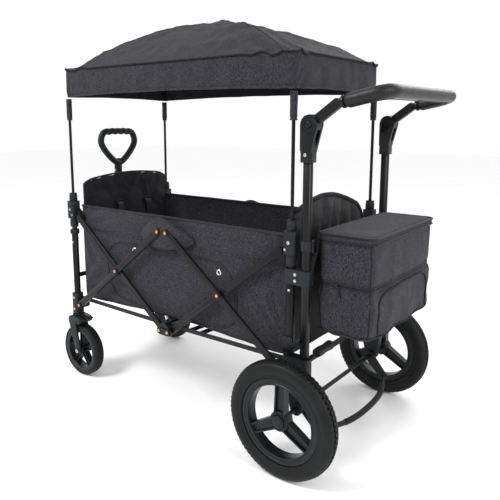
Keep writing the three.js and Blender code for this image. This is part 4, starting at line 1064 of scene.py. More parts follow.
def stitched(mesh, points, s, lift=0.0006, pitch=STITCH_PITCH, closed=False):
    """Short threads along a line on the wall."""
    walk, gap = 0.0, pitch * 0.62
    line = [wall_at(p[0], p[-1], s, lift) for p in points]
    if closed:
        line.append(line[0])
    start = None
    for a, b in zip(line, line[1:]):
        length = (b - a).length
        place = 0.0
        while place < length:
            step = min(length - place, (gap - walk) if start is not None else pitch - walk)
            here = a.lerp(b, place / max(length, 1e-9))
            there = a.lerp(b, (place + step) / max(length, 1e-9))
            if start is not None and (there - here).length > 2e-4:
                mesh.tube([here, there], 0.00032, 5)
            walk += step
            place += step
            if start is not None and walk >= gap - 1e-7:
                start, walk = None, gap
            elif start is None and walk >= pitch - 1e-7:
                start, walk = here, 0.0
    return mesh


for side, s in SIDES:
    cord = Mesh()
    seam(cord, POCKET, s, 0.0019, 0.0002, True)
    folds_up(piece(f"pocket_piping_{side}", cord, "rear_frame", PIPING, angle=70))
    threads = Mesh()
    inside = [Vector((p.x * 0.972, 0, 0.395 + (p.z - 0.395) * 0.94)) for p in POCKET]
    stitched(threads, inside, s, 0.0004, closed=True)
    for dz in (-0.0045, 0.0045):
        seam_line = [Vector((-0.41 + 0.82 * k / 160, 0, WALL_SEAM_Z + dz)) for k in range(161)]
        stitched(threads, seam_line, s, 0.0004)
    stitched(threads, [Vector((-0.405 + 0.81 * k / 160, 0, lower_edge(-0.405 + 0.81 * k / 160) + 0.010))
                       for k in range(161)], s, 0.0004)
    folds_up(piece(f"wall_stitches_{side}", threads, "rear_frame", LINING, angle=70))
    hem = Mesh()
    seam(hem, [Vector((-0.408 + 0.816 * k / 120, 0, lower_edge(-0.408 + 0.816 * k / 120) + 0.001))
               for k in range(121)], s, 0.0030, 0.0002)
    folds_up(piece(f"wall_hem_{side}", hem, "rear_frame", WEBBING, angle=70))
    lets = Mesh()
    hole_shade = Mesh()
    for ex, ez in EYELET_PLACES:
        p = wall_at(ex, ez, s, 0.0008)
        lets.turned([(0.0042, 0.0), (0.0082, 0.0), (0.0088, 0.0007), (0.0080, 0.0016), (0.0062, 0.0021),
                     (0.0048, 0.0015), (0.0042, 0.0004)], p, (0, s, 0), 40, True)
        # Painted shade: a near-black cloth disc sits in each eyelet in place of the shaded hole through it.
        hole_shade.turned([(0.0, 0.0007), (0.0050, 0.0007), (0.0050, -0.0006), (0.0, -0.0006)], p, (0, s, 0), 28)
    folds_up(piece(f"eyelets_{side}", lets, "rear_frame", EYELET, angle=50))
    folds_up(piece(f"eyelet_hole_shade_{side}", hole_shade, "rear_frame", PIPING, angle=50))

    # Leaf-shaped flap hung over the top hub: piped edge, padded middle.
    edge = smooth_path([Vector((x, 0, z)) for x, z in (
        (-0.022, 0.5985), (-0.078, 0.574), (-0.126, 0.534), (-0.076, 0.514), (-0.012, 0.5075), (0.052, 0.514),
        (0.104, 0.538), (0.046, 0.577))], 10, True)
    centre = Vector((-0.012, 0, 0.550))
    leaf = Mesh()

    def leaf_point(ring_no, p, back=False, s=s, centre=centre):
        q = centre.lerp(p, ring_no / 8)
        over_hub = math.exp(-((q.x / 0.045) ** 2)) * math.exp(-(((q.z - 0.556) / 0.030) ** 2))
        puff = 0.0022 * (1 - (ring_no / 8) ** 4)
        relief = 0.0008 * crumple((q.x, q.z, s), 20, 4)
        y = HALF_Y + 0.0075 + 0.0195 * math.exp(-((q.x / 0.085) ** 4)) + 0.0030 * over_hub + puff + relief
        y = max(y, HALF_Y + 0.0035)
        if back:
            y -= 0.0030 + puff
        return Vector((MID_X + q.x, s * y, q.z))
    front = [leaf.ring([leaf_point(k, p) for p in edge]) for k in range(1, 9)]
    rear = [leaf.ring([leaf_point(k, p, True) for p in edge]) for k in range(1, 9)]
    for group in (front, rear):
        for a, b in zip(group, group[1:]):
            leaf.bridge(a, b)
        leaf.cap(group[0])
    leaf.bridge(front[-1], rear[-1])
    flap_made = [piece(f"hub_flap_{side}", leaf, "top_hubs", FABRIC, angle=70)]
    cord = Mesh()
    cord.tube([leaf_point(8, p) + Vector((0, s * -0.0016, 0)) for p in edge], 0.0027, 12, closed=True)
    flap_made.append(piece(f"hub_flap_piping_{side}", cord, "top_hubs", PIPING, angle=70))
    for made in flap_made:
        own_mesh(made)


# ---------------------------------------------------------------- canopy
CAN_X, CAN_Y = (CANOPY_HI.x - CANOPY_LO.x) / 2, (CANOPY_HI.y - CANOPY_LO.y) / 2
EDGE_Z = CANOPY_LO.z + 0.092
RISE = 0.1255
CLOTH = 0.0022


def lines(half, corner, count):
    inner = half - corner
    return ([-half + corner * k / 5 for k in range(5)]
            + [-inner + 2 * inner * k / count for k in range(count + 1)]
            + [inner + corner * k / 5 for k in range(1, 6)])


CORNER = 0.020
XS, YS = lines(CAN_X, CORNER, 118), lines(CAN_Y, CORNER, 58)


def round_corner(x, y):
    dx, dy = abs(x) - (CAN_X - CORNER), abs(y) - (CAN_Y - CORNER)
    if dx > 0 and dy > 0:
        ax_, ay_ = dx / CORNER, dy / CORNER
        nx = dx * math.sqrt(1 - ay_ * ay_ / 2)
        ny = dy * math.sqrt(1 - ax_ * ax_ / 2)
        return (math.copysign(CAN_X - CORNER + nx, x), math.copysign(CAN_Y - CORNER + ny, y))
    return x, y


def roof_z(x, y):
    u, v = x / CAN_X, y / CAN_Y
    m = (abs(u) ** 6 + abs(v) ** 6) ** (1 / 6)
    z = RISE * (1 - min(1.0, m) ** 1.75)
    # The cloth hangs a little between the four ribs and the edge, and stands up over each rib.
    off_rib = abs(abs(u) - abs(v))
    sag = min(1.0, off_rib / 0.5) * m * (1 - m) * 4
    rib = math.exp(-((off_rib / 0.035) ** 2)) * min(1.0, 1.0 * m + 0.3)
    folds = crumple((x, y * 1.2, 0.3), 9, 11)
    drag = math.sin(off_rib * 34 + 5 * wobble((x, y, 0), 5, 2)) * math.exp(-((off_rib - 0.16) / 0.12) ** 2)
    near_edge = max(0.0, 1 - (1 - m) / 0.10)
    pucker = near_edge * math.sin((x if abs(v) > abs(u) else y) * 330 + 7 * wobble((x, y, 0), 12)) * 0.0006
    heavy = 1.0 + 0.9 * max(0.0, u) + 0.5 * max(0.0, -v)
    soft = 0.0060 * crumple((x * 0.8, y, 2.3), 13, 23) * min(1.0, (1 - m) * 5) * heavy
    return (z - 0.0085 * sag + 0.0034 * rib + 0.0026 * folds * min(1.0,
                                                                   (1 - m) * 6) + 0.0026 * drag * m * heavy
            + soft + pucker - 0.003)


def top_point(i, j, sink=0.0):
    x, y = round_corner(XS[i], YS[j])
    return at(x * (1 - sink * 2.0), y * (1 - sink * 3.2), EDGE_Z + roof_z(x, y) - sink * 1.0)


def rim_indices():
    last_x, last_y = len(XS) - 1, len(YS) - 1
    return ([(i, 0) for i in range(last_x)] + [(last_x, j) for j in range(last_y)]
            + [(i, last_y) for i in range(last_x, 0, -1)] + [(0, j) for j in range(last_y, 0, -1)])


BAND_ROWS = 20


def band_point(i, j, row, sink=0.0):
    x, y = round_corner(XS[i], YS[j])
    t = row / BAND_ROWS
    on_side = abs(abs(y) - CAN_Y) < 1e-4
    arch = 0.0075 * (1 - (x / CAN_X) ** 2) if on_side else 0.004 * (1 - (y / CAN_Y) ** 2)
    low = CANOPY_LO.z + arch + 0.0012 * wobble((x, y, 0), 11, 3)
    z = EDGE_Z + roof_z(x, y) + (low - EDGE_Z - roof_z(x, y)) * t
    nx, ny = (0.0, math.copysign(1, y)) if on_side else (math.copysign(1, x), 0.0)
    ex, ey = max(0.0, abs(x) - CAN_X + CORNER), max(0.0, abs(y) - CAN_Y + CORNER)
    if ex > 0 and ey > 0:
        d = math.hypot(ex, ey)
        nx, ny = math.copysign(ex / d, x), math.copysign(ey / d, y)
    along = x if on_side else y
    to_corner = min(CAN_X - abs(x) if on_side else CAN_Y - abs(y), 0.2)
    drape = 0.0017 * math.sin(along * 62 + 4 * wobble((x, y, 0), 5, 8)) * t
    drape += 0.0032 * crumple((x * 1.0, y, z * 0.45), 13, 17) * math.sin(math.pi * min(1.0, t * 1.1)) ** 0.5
    diagonal = (EDGE_Z - z) * 0.9 + to_corner
    drape += 0.0022 * math.exp(-(to_corner / 0.07) ** 2) * math.sin(diagonal * 150 + 5 * wobble((x, y, z),
                                                                                                14)) * t
    seam_dip = -0.0016 * math.exp(-((t - 0.045) / 0.02) ** 2)
    hem = 0.0009 if t > 0.90 else -0.0006 * math.exp(-((t - 0.885) / 0.015) ** 2)
    out = -0.0022 + drape + seam_dip + hem - 0.004 * t * (1 - t)
    if row == 0:
        out = 0.0
    p = at(x + nx * out, y + ny * out, z)
    return p - Vector((nx, ny, 0)) * sink


sheet_mesh = Mesh()
top = [sheet_mesh.ring([top_point(i, j) for j in range(len(YS))]) for i in range(len(XS))]
for a, b in zip(top, top[1:]):
    sheet_mesh.bridge(a, b, False)
rim = rim_indices()
previous = [top[i][j] for i, j in rim]
for row in range(1, BAND_ROWS + 1):
    ring = sheet_mesh.ring([band_point(i, j, row) for i, j in rim])
    sheet_mesh.bridge(previous, ring)
    previous = ring
made = sheet_mesh.object("canopy_cloth")
thick = made.modifiers.new("thickness", "SOLIDIFY")
thick.thickness = CLOTH
thick.offset = -1
made.data.materials.append(FABRIC_TOP)
made.data.materials.append(LINING)
thick.material_offset = 1
thick.use_rim = True


def baked(made):
    """The object with its modifiers made final."""
    bpy.context.view_layer.update()
    graph = bpy.context.evaluated_depsgraph_get()
    data = bpy.data.meshes.new_from_object(made.evaluated_get(graph))
    made.modifiers.clear()
    made.data = data
    return made


baked(made)
lined_piece(made, "rear_uppers", FABRIC_TOP, ("canopy",), angle=75)
folds_up(made)

cord = Mesh()
cord.tube([top_point(i, j) + Vector((0, 0, -0.0012)) for i, j in rim], 0.0024, 10, closed=True)
folds_up(piece("canopy_edge_piping", cord, "rear_uppers", LINING, angle=70))
cord = Mesh()
for sx in (-1, 1):
    for sy in (-1, 1):
        points = []
        for k in range(60):
            t = 0.985 * (1 - k / 59) + 0.012
            x, y = sx * CAN_X * t, sy * CAN_Y * t
            if k == 0:
                x, y = round_corner(x, y)
            points.append(at(x, y, EDGE_Z + roof_z(x, y) + 0.0006))
        cord.tube(points, 0.0014, 8)
folds_up(piece("canopy_rib_seams", cord, "rear_uppers", FABRIC_TOP, angle=70))
threads = Mesh()
for level, lift in ((0.075, 0.0008), (0.90, 0.0010)):
    line = []
    for i, j in rim:
        a, b = band_point(i, j, int(level * BAND_ROWS)), band_point(i, j, int(level * BAND_ROWS) + 1)
        f = level * BAND_ROWS - int(level * BAND_ROWS)
        p = a.lerp(b, f)
        x, y = round_corner(XS[i], YS[j])
        on_side = abs(abs(y) - CAN_Y) < 1e-4
        n = Vector((0, math.copysign(1, y), 0) if on_side else (math.copysign(1, x), 0, 0))
        line.append(p + n * lift)
    for k in range(len(line)):
        a, b = line[k], line[(k + 1) % len(line)]
        stitch_run(threads, a, b, 0.12)
folds_up(piece("canopy_stitches", threads, "rear_uppers", LINING, angle=70))

# ---------------------------------------------------------------- stuffed pieces
def stuffed(made, pinned, pressure=3.0, voxel=0.006, most=0.010):
    """Blows the closed cloth up from inside, held along its seams, and keeps the shape it takes."""
    remesh = made.modifiers.new("cells", "REMESH")
    remesh.mode = "VOXEL"
    remesh.voxel_size = voxel
    baked(made)
    rest = [v.co.copy() for v in made.data.vertices]
    group = made.vertex_groups.new(name="seams")
    for index, p in enumerate(rest):
        if pinned(p):
            group.add([index], 1.0, "REPLACE")
    cloth = made.modifiers.new("cloth", "CLOTH")
    settings = cloth.settings
    settings.quality = 4
    settings.mass = 0.2
    settings.tension_stiffness = settings.compression_stiffness = 14
    settings.shear_stiffness = 8
    settings.bending_stiffness = 0.6
    settings.use_pressure = True
    settings.uniform_pressure_force = pressure
    settings.vertex_group_mass = "seams"
    settings.shrink_min = -0.03
    settings.effector_weights.gravity = 0.0
    cloth.collision_settings.use_collision = False
    cloth.point_cache.frame_start = 1
    cloth.point_cache.frame_end = 18
    for f in range(1, 19):
        bpy.context.scene.frame_set(f)
    graph = bpy.context.evaluated_depsgraph_get()
    shaped = made.evaluated_get(graph).to_mesh()
    moved = [v.co.copy() for v in shaped.vertices]
    made.evaluated_get(graph).to_mesh_clear()
    made.modifiers.clear()
    bpy.context.scene.frame_set(1)
    for v, a, b in zip(made.data.vertices, rest, moved):
        step = b - a
        if step.length > most:
            step = step.normalized() * most
        v.co = a + step
    made.vertex_groups.clear()
    smooth = made.modifiers.new("smooth", "SMOOTH")
    smooth.iterations = 4
    smooth.factor = 0.5
    finer = made.modifiers.new("finer", "SUBSURF")
    finer.levels = finer.render_levels = 1
    return baked(made)


def relief(made, scale, depth, seed=0.0, stretch=(1, 1, 1)):
    """Fine creases pressed along the surface's own directions."""
    normals = [v.normal.copy() for v in made.data.vertices]
    for v, n in zip(made.data.vertices, normals):
        p = Vector((v.co.x * stretch[0], v.co.y * stretch[1], v.co.z * stretch[2]))
        v.co += n * depth * crumple(p, scale, seed)
    made.data.update()
    return made


# Seat back: high padded panel between the front posts, with two harness slots.
lo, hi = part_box("seat_back")
back_x = (lo.x + hi.x) / 2


def back_top(y):
    t = (y - lo.y) / (hi.y - lo.y)
    return hi.z - 0.020 + 0.024 * math.sin(math.pi * min(1.0, max(0.0, t * 0.8 + 0.12))) - 0.006 * (1 - t)


outline = []
steps = 30
for k in range(steps + 1):
    y = lo.y + (hi.y - lo.y) * k / steps
    corner_drop = 0.010 * (max(0.0, abs(2 * k / steps - 1) - 0.78) / 0.22) ** 2
    outline.append((y, min(hi.z + 0.004, back_top(y)) - corner_drop))
outline = [(lo.y, lo.z)] + outline + [(hi.y, lo.z)]
pad = Mesh().prism(outline, lo.x + 0.003, hi.x - 0.003, "yz")
made = pad.object("seat_back_pad")
SLOTS = (-0.045, 0.088)
SLOTS_Z = 0.590
BACK_SEAMS_Z = (0.640, 0.470)


def back_seams(p):
    edge = min(p.y - lo.y, hi.y - p.y, back_top(p.y) - p.z, p.z - lo.z)
    across = any(abs(p.z - q) < 0.004 for q in BACK_SEAMS_Z)
    slots = any(abs(p.y - q) < 0.018 and abs(p.z - SLOTS_Z) < 0.006 for q in SLOTS)
    return edge < 0.006 or across or slots


stuffed(made, back_seams, 5.0, 0.0055, 0.011)
relief(made, 16, 0.0016, 3, (1, 1.6, 0.6))
finish_piece(made, "front_frame", LINING, ("seat_back",), angle=80)
cord = Mesh()
top_line = [Vector((back_x, y, z + 0.001)) for y, z in outline[1:-1]]
cord.tube([Vector((back_x, lo.y + 0.001, 0.33))] + smooth_path(top_line,
                                                               3) + [Vector((back_x, hi.y - 0.001, 0.33))],
          0.0034, 12)
piece("seat_back_piping", cord, "front_frame", PIPING, angle=70)
straps = Mesh()
for q in SLOTS:
    # Webbing comes out of the slot and lies down the pad.
    x_face = hi.x + 0.0045
    line = [Vector((hi.x - 0.004, q, 0.592)), Vector((x_face + 0.002, q, 0.590)),
            Vector((x_face + 0.006, q + 0.002, 0.575)),
            Vector((x_face + 0.005, q + 0.006, 0.53)), Vector((x_face + 0.004, q + 0.009, 0.47)),
            Vector((x_face + 0.004, q + 0.010, 0.40)), Vector((x_face + 0.004, q + 0.010, 0.335))]
    line = smooth_path(line, 8)
    rows = []
    for p in line:
        rows.append(straps.ring([p + Vector((-0.0008, -0.0125, 0)), p + Vector((-0.0008, 0.0125, 0)),
                                 p + Vector((0.0008, 0.0125, 0)), p + Vector((0.0008, -0.0125, 0))]))
    straps.loft(rows)
piece("harness_webbing", straps, "front_frame", WEBBING, angle=50)
slots = Mesh()
for q in SLOTS:
    frame_line = [Vector((hi.x + 0.0042, q + a, 0.592 + b)) for a,
                  b in rounded(-0.019, -0.006, 0.019, 0.006, 0.0055, 6)]
    slots.tube(frame_line, 0.0016, 8, closed=True)
piece("harness_slots", slots, "front_frame", PIPING, angle=60)

# Floor mat: quilted pad.
MAT_SEAMS_X = (-0.21, 0.0, 0.21)
lo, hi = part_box("floor_mat")
pad = Mesh().prism([(x, y) for x, y in rounded(lo.x, lo.y, hi.x, hi.y, 0.020, 6)], lo.z + 0.002,
                   hi.z - 0.003, "xy")
made = pad.object("floor_mat_pad")


def mat_seams(p):
    x, y = p.x - MID_X, p.y
    edge = min(p.x - lo.x, hi.x - p.x, p.y - lo.y, hi.y - p.y)
    return edge < 0.010 or any(abs(x - q) < 0.006 for q in MAT_SEAMS_X) or abs(y) < 0.006


stuffed(made, mat_seams, 3.0, 0.007, 0.004)
finish_piece(made, "rear_frame", LINING, ("floor_mat",), angle=80)
folds_up(made)


# ---------------------------------------------------------------- cooler bag
BAG_LO, BAG_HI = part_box("cooler_bag")
LID_LO, LID_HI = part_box("bag_lid")
BX0, BX1 = BAG_LO.x, BAG_HI.x
BY = BAG_HI.y
BAG_CORNER = 0.020
ZIP_LINES_Z = (0.4895, 0.4835)
BAG_STITCHES_Z = (0.4965, 0.4770)    # above and below the zip


def bag_outline(grow=0.0, count_y=80, count_x=34, steps=7):
    pts = []
    x0, x1, hy, r = BX0 - grow, BX1 + grow, BY + grow, BAG_CORNER + grow * 0.5

    def edge(a, b, n, out):
        for k in range(n):
            t = k / n
            pts.append((a[0] + (b[0] - a[0]) * t, a[1] + (b[1] - a[1]) * t, out))

    def bend(cx, cy, start):
        for k in range(steps):
            a = math.radians(start + 90 * k / steps)
            pts.append((cx + r * math.cos(a), cy + r * math.sin(a), (math.cos(a), math.sin(a))))
    edge((x0 + r, -hy), (x1 - r, -hy), count_x, (0, -1))
    bend(x1 - r, -hy + r, -90)
    edge((x1, -hy + r), (x1, hy - r), count_y, (1, 0))
    bend(x1 - r, hy - r, 0)
    edge((x1 - r, hy), (x0 + r, hy), count_x, (0, 1))
    bend(x0 + r, hy - r, 90)
    edge((x0, hy - r), (x0, -hy + r), count_y, (-1, 0))
    bend(x0 + r, -hy + r, 180)
    return pts


BAG_ROWS = 44
BAG_TOP_Z = BAG_HI.z - 0.001


def bag_surface(x, y, out_dir, z, depth=0.0):
    """A point of the bag's outer cloth, with its slack and its creases."""
    ox, oy = out_dir
    t = (z - BAG_LO.z) / (BAG_TOP_Z - BAG_LO.z)
    from_middle = y / BY if abs(ox) > 0.7 else (x - (BX0 + BX1) / 2) / (0.5 * (BX1 - BX0))
    span = max(0.0, 1 - from_middle ** 2)
    full = (span + 0.02) ** 0.5 * math.sin(math.pi * min(1, max(0, 0.06 + 0.94 * t)) * 0.93) ** 0.7
    slack = 0.0074 * full * (1.15 - 0.5 * t) if ox > -0.5 else 0.001
    waist = -0.0042 * math.exp(-((t - 0.535) / 0.050) ** 2)
    creases = 0.0034 * crumple((x * 1.1, y, z * 0.8), 10, 21)
    along = y if abs(ox) > abs(oy) else x * 3
    drag = 0.0032 * math.sin(along * 46 + z * 60 + 5 * wobble((x, y, z), 7,
                                                              4)) * math.exp(-((t - 0.42) / 0.12) ** 2)
    sag = 0.0042 * math.sin(along * 38 + 4 * wobble((x, y, z), 8, 9)) * math.exp(-(t / 0.13) ** 2)
    tuck = -0.012 * math.exp(-(t / 0.030) ** 2)
    out = slack + waist + creases * 0.8 + drag + sag + tuck - 0.0035 + depth
    droop = 0.0060 * (1 - t) * span if ox > 0.5 else 0.0
    return Vector((x + ox * out, y + oy * out, z - droop))


BAG_LINE = bag_outline()


def bag_row_z(i):
    return BAG_LO.z + (BAG_TOP_Z - BAG_LO.z) * i / (BAG_ROWS - 1)


bag = Mesh()
outer = bag.grid(BAG_ROWS, len(BAG_LINE), lambda i, j: bag_surface(*BAG_LINE[j], bag_row_z(i)), True)
first_inner = len(bag.bm.faces)
inner = bag.grid(BAG_ROWS, len(BAG_LINE),
                 lambda i, j: bag_surface(*BAG_LINE[j], bag_row_z(i),
                                          -0.0055) + Vector((0, 0, 0.006 if i == 0 else 0)),
                 True)
bag.bridge(outer[-1], inner[-1])
bag.cap(inner[0])
# The underside bulges down between its corners.
mid_x = (BX0 + BX1) / 2
previous = outer[0]
for k in range(1, 7):
    f = 1 - k / 7
    ring = bag.ring([Vector((mid_x + (v.co.x - mid_x) * f, v.co.y * f, BAG_LO.z - 0.0045 * (1 - f * f)
                             + 0.0012 * crumple((v.co.x * f, v.co.y * f, 0), 14, 6))) for v in outer[0]])
    bag.bridge(previous, ring)
    previous = ring
bag.cap(previous, True)
bag.bm.faces.ensure_lookup_table()
last_inner = first_inner + (BAG_ROWS - 1) * len(BAG_LINE)
for index, face in enumerate(bag.bm.faces):
    face.material_index = 1 if first_inner <= index < last_inner else 0
made = bag.object("cooler_bag_cloth")
lined_piece(made, "rear_frame", FABRIC, ("cooler_bag",), angle=75)


def on_bag(y_or_x, z, face, lift=0.0006):
    """A point on the bag's rear face ("rear", at y), or on an end face ("near" or "far", at x)."""
    if face == "rear":
        return bag_surface(BX1, y_or_x, (1, 0), z, lift)
    s = -1 if face == "near" else 1
    return bag_surface(y_or_x, s * BY, (0, s), z, lift)


def round_bag(z, lift=0.0006, start=0, stop=None):
    return [bag_surface(x, y, o, z, lift) for x, y, o in BAG_LINE[start:stop]]


zips = Mesh()
for z in ZIP_LINES_Z:
    zips.tube(round_bag(z, 0.0010), 0.0017, 8, closed=True)
piece("bag_zip_lines", zips, "rear_frame", PIPING, angle=70)
seams = Mesh()
# Upright corner seams, the edge round the bottom and the D-shaped pocket on the rear face.
for sy in (-1, 1):
    for corner_x, face in ((BX1, 1), (BX0, -1)):
        points = []
        for k in range(40):
            z = BAG_LO.z + 0.006 + (BAG_TOP_Z - 0.008 - BAG_LO.z) * k / 39
            d = math.sqrt(0.5)
            cx = corner_x - face * BAG_CORNER + face * BAG_CORNER * d
            cy = sy * (BY - BAG_CORNER + BAG_CORNER * d)
            points.append(bag_surface(cx, cy, (face * d, sy * d), z, 0.0008))
        seams.tube(points, 0.0017, 8)
seams.tube(round_bag(BAG_LO.z + 0.010, 0.0016), 0.0022, 8, closed=True)
pocket = [(-0.150, 0.372), (-0.156, 0.410), (-0.150, 0.446), (-0.120, 0.470), (-0.06, 0.4745), (0.06, 0.4745),
          (0.120, 0.470), (0.150, 0.446), (0.156, 0.410), (0.150, 0.372)]
line = smooth_path([Vector((0, y, z)) for y, z in pocket], 10)
seams.tube([on_bag(p.y, p.z, "rear", 0.0012) for p in line], 0.0019, 8)
piece("bag_seams", seams, "rear_frame", LINING, angle=70)
threads = Mesh()
for a, b in zip(line, line[1:]):
    c = Vector((0, 0, 0.42))
    pa, pb = a.lerp(c, 0.045), b.lerp(c, 0.045)
    n = max(1, int((pb - pa).length / STITCH_PITCH))
    for q in range(n):
        g, h = pa.lerp(pb, (q + 0.1) / n), pa.lerp(pb, (q + 0.7) / n)
        threads.tube([on_bag(g.y, g.z, "rear", 0.0010), on_bag(h.y, h.z, "rear", 0.0010)], THREAD_R, 5)
for z in BAG_STITCHES_Z:
    ring = round_bag(z, 0.0008)
    for a, b in zip(ring, ring[1:] + ring[:1]):
        stitch_run(threads, a, b, 0.1)
piece("bag_stitches", threads, "rear_frame", LINING, angle=70)
puller = Mesh()
p = on_bag(BX0 + 0.052, 0.4865, "near", 0.003)
puller.block((p.x - 0.005, p.y - 0.002, p.z - 0.0045), (p.x + 0.005, p.y + 0.0015, p.z + 0.0045))
puller.tube([p + Vector((0.004, -0.0015, 0)), p + Vector((0.010, -0.0028, -0.010)),
             p + Vector((0.013, -0.0028, -0.026))],
            0.0017, 10)
piece("bag_zip_puller", puller, "rear_frame", GLOSS, bevel=0.0008, angle=40)

# Lid: a flat padded panel with a stitched rim that hangs over the bag's edge.
lid = Mesh()
LID_STEPS = 12
lid_line = bag_outline(0.0025)
lx, lz = (BX0 + BX1) / 2, LID_HI.z


def lid_point(k, j, under=False):
    x, y, (ox, oy) = lid_line[j]
    f = k / LID_STEPS
    px, py = lx + (x - lx) * f, y * f
    edge = 1 - f
    puff = 0.0030 * min(1.0, edge / 0.12) ** 0.6 - 0.0035 * math.exp(-(edge / 0.05) ** 2)
    hollow = -0.0030 * (1 - ((px - lx) / 0.072) ** 2) * (1 - (py / BY) ** 2)
    z = lz - 0.0035 + puff + hollow + 0.0009 * crumple((px, py, 0), 13, 31)
    if under:
        z = LID_LO.z + 0.001
    return Vector((px, py, z))


top = [lid.ring([lid_point(k, j) for j in range(len(lid_line))]) for k in range(1, LID_STEPS + 1)]
for a, b in zip(top, top[1:]):
    lid.bridge(a, b)
lid.cap(top[0])
skirt = lid.ring([Vector((x + ox * 0.0012, y + oy * 0.0012,
                          LID_LO.z - 0.004 + 0.0008 * wobble((x, y, 0), 22)))
                  for x, y, (ox, oy) in lid_line])
lid.bridge(top[-1], skirt)
below = [lid.ring([lid_point(k, j, True) for j in range(len(lid_line))]) for k in (11, 6, 2)]
lid.bridge(skirt, below[0])
for a, b in zip(below, below[1:]):
    lid.bridge(a, b)
lid.cap(below[-1], True)
made = piece("bag_lid_cloth", lid, "bag_lid", FABRIC, ("bag_lid",), angle=60)
rim_cord = Mesh()
rim_cord.tube([Vector((x + ox * 0.0012, y + oy * 0.0012, lz - 0.0048)) for x, y, (ox, oy) in lid_line],
              0.0026, 10,
              closed=True)
rim_cord.tube([Vector((x + ox * 0.0016, y + oy * 0.0016, LID_LO.z - 0.0035)) for x, y, (ox, oy) in lid_line],
              0.0019, 8,
              closed=True)
piece("bag_lid_piping", rim_cord, "bag_lid", PIPING, angle=70)


def strap_along(points, width, thick, across):
    """Flat webbing through the points; across is the direction of its width at each point."""
    mesh = Mesh()
    line = smooth_path(points, 8)
    rows = []
    for i, p in enumerate(line):
        a, b = line[max(0, i - 1)], line[min(len(line) - 1, i + 1)]
        along = (b - a).normalized()
        w = Vector(across)
        w = (w - along * w.dot(along)).normalized() * (width / 2)
        n = along.cross(w).normalized() * (thick / 2)
        rows.append(mesh.ring([p - w - n, p + w - n, p + w + n, p - w + n]))
    mesh.loft(rows)
    return mesh


POST_X = middle("handle_post_right").x
for side, s in SIDES:
    y = s * 0.158
    # Hanging strap: up from the bag's front edge, round the post and back, with a buckle.
    py = s * LEG_Y
    top_strap = strap_along([
        Vector((BX0 + 0.004, y, 0.540)), Vector((BX0 + 0.0005, y + s * 0.004, 0.560)),
        Vector((BX0 - 0.003, y + s * 0.014, 0.570)), Vector((POST_X + 0.012, py - s * 0.020, 0.577)),
        Vector((POST_X + 0.004, py - s * 0.0150, 0.579))], 0.022, 0.0018, (0, 0, 1))
    piece(f"bag_hanger_{side}", top_strap, "rear_frame", WEBBING, angle=60)
    loop = Mesh()
    ring_pts = [(POST_X + 0.0140 * math.cos(a), py + 0.0140 * math.sin(a)) for a in
                (2 * math.pi * k / 40 for k in range(40))]
    rows = [loop.ring([Vector((x, yy, 0.5675)) for x, yy in ring_pts]),
            loop.ring([Vector((x, yy, 0.5915)) for x, yy in ring_pts])]
    inner_pts = [(POST_X + 0.0124 * math.cos(a), py + 0.0124 * math.sin(a)) for a in
                 (2 * math.pi * k / 40 for k in range(40))]
    rows += [loop.ring([Vector((x, yy, 0.5915)) for x, yy in inner_pts]),
             loop.ring([Vector((x, yy, 0.5675)) for x, yy in inner_pts])]
    for k in range(4):
        loop.bridge(rows[k], rows[(k + 1) % 4])
    piece(f"bag_hanger_loop_{side}", loop, "rear_frame", WEBBING, angle=50)
    buckle = Mesh().prism([(a, b) for a,
                           b in rounded(py - s * 0.0065 - 0.009, 0.5625, py - s * 0.0065 + 0.009, 0.5965,
                                                      0.004, 5)], POST_X + 0.0150, POST_X + 0.0205, "yz")
    piece(f"bag_buckle_{side}", buckle, "rear_frame", GLOSS, bevel=0.0014, angle=40,
          steps=3)

# ---------------------------------------------------------------- rear end: pleated flap behind the seat
END_X = MID_X + HALF_X + 0.0030
flap = Mesh()


def flap_top(y):
    t = min(1.0, max(0.0, (y + 0.212) / 0.385))
    rise = 0.648 + 0.036 * math.sin(math.pi * min(1.0, t * 1.15 + 0.05))
    return rise - 0.060 * max(0.0, (t - 0.80) / 0.20) ** 2


def flap_point(i, j, rows=36, cols=150):
    y = -0.212 + 0.385 * j / (cols - 1)
    low = 0.470 + 0.012 * math.sin(y * 9)
    z = low + (flap_top(y) - low) * i / (rows - 1)
    t = i / (rows - 1)
    fan = (y + 0.02) * (1 - 0.35 * (1 - t))
    pleat = abs(math.sin(fan * 56 + 3.4 * wobble((y, z * 0.6, 0), 8))) ** 0.8
    x = END_X + 0.0010 + 0.0052 * pleat * (0.35 + 0.65 * math.sin(math.pi * min(1, t * 0.96))) \
        + 0.0024 * crumple((y, z * 0.6, 0), 15, 5)
    wrap = max(0.0, (-0.186 - y) / 0.026)
    x -= 0.010 * wrap * wrap
    lean = 0.004 * t
    return Vector((min(x + lean, MID_X + LEG_X + 0.0095), y, z))


front = flap.grid(36, 150, flap_point)
made = flap.object("rear_flap_cloth")
thick = made.modifiers.new("thickness", "SOLIDIFY")
thick.thickness = 0.0012
thick.offset = 0
baked(made)
finish_piece(made, "rear_frame", NYLON, angle=80)
binding = Mesh()
binding.tube([flap_point(35, j) + Vector((-0.0005, 0, 0.001)) for j in range(0, 150, 2)], 0.0066, 14)
piece("rear_flap_binding", binding, "rear_frame", LINING, angle=70)
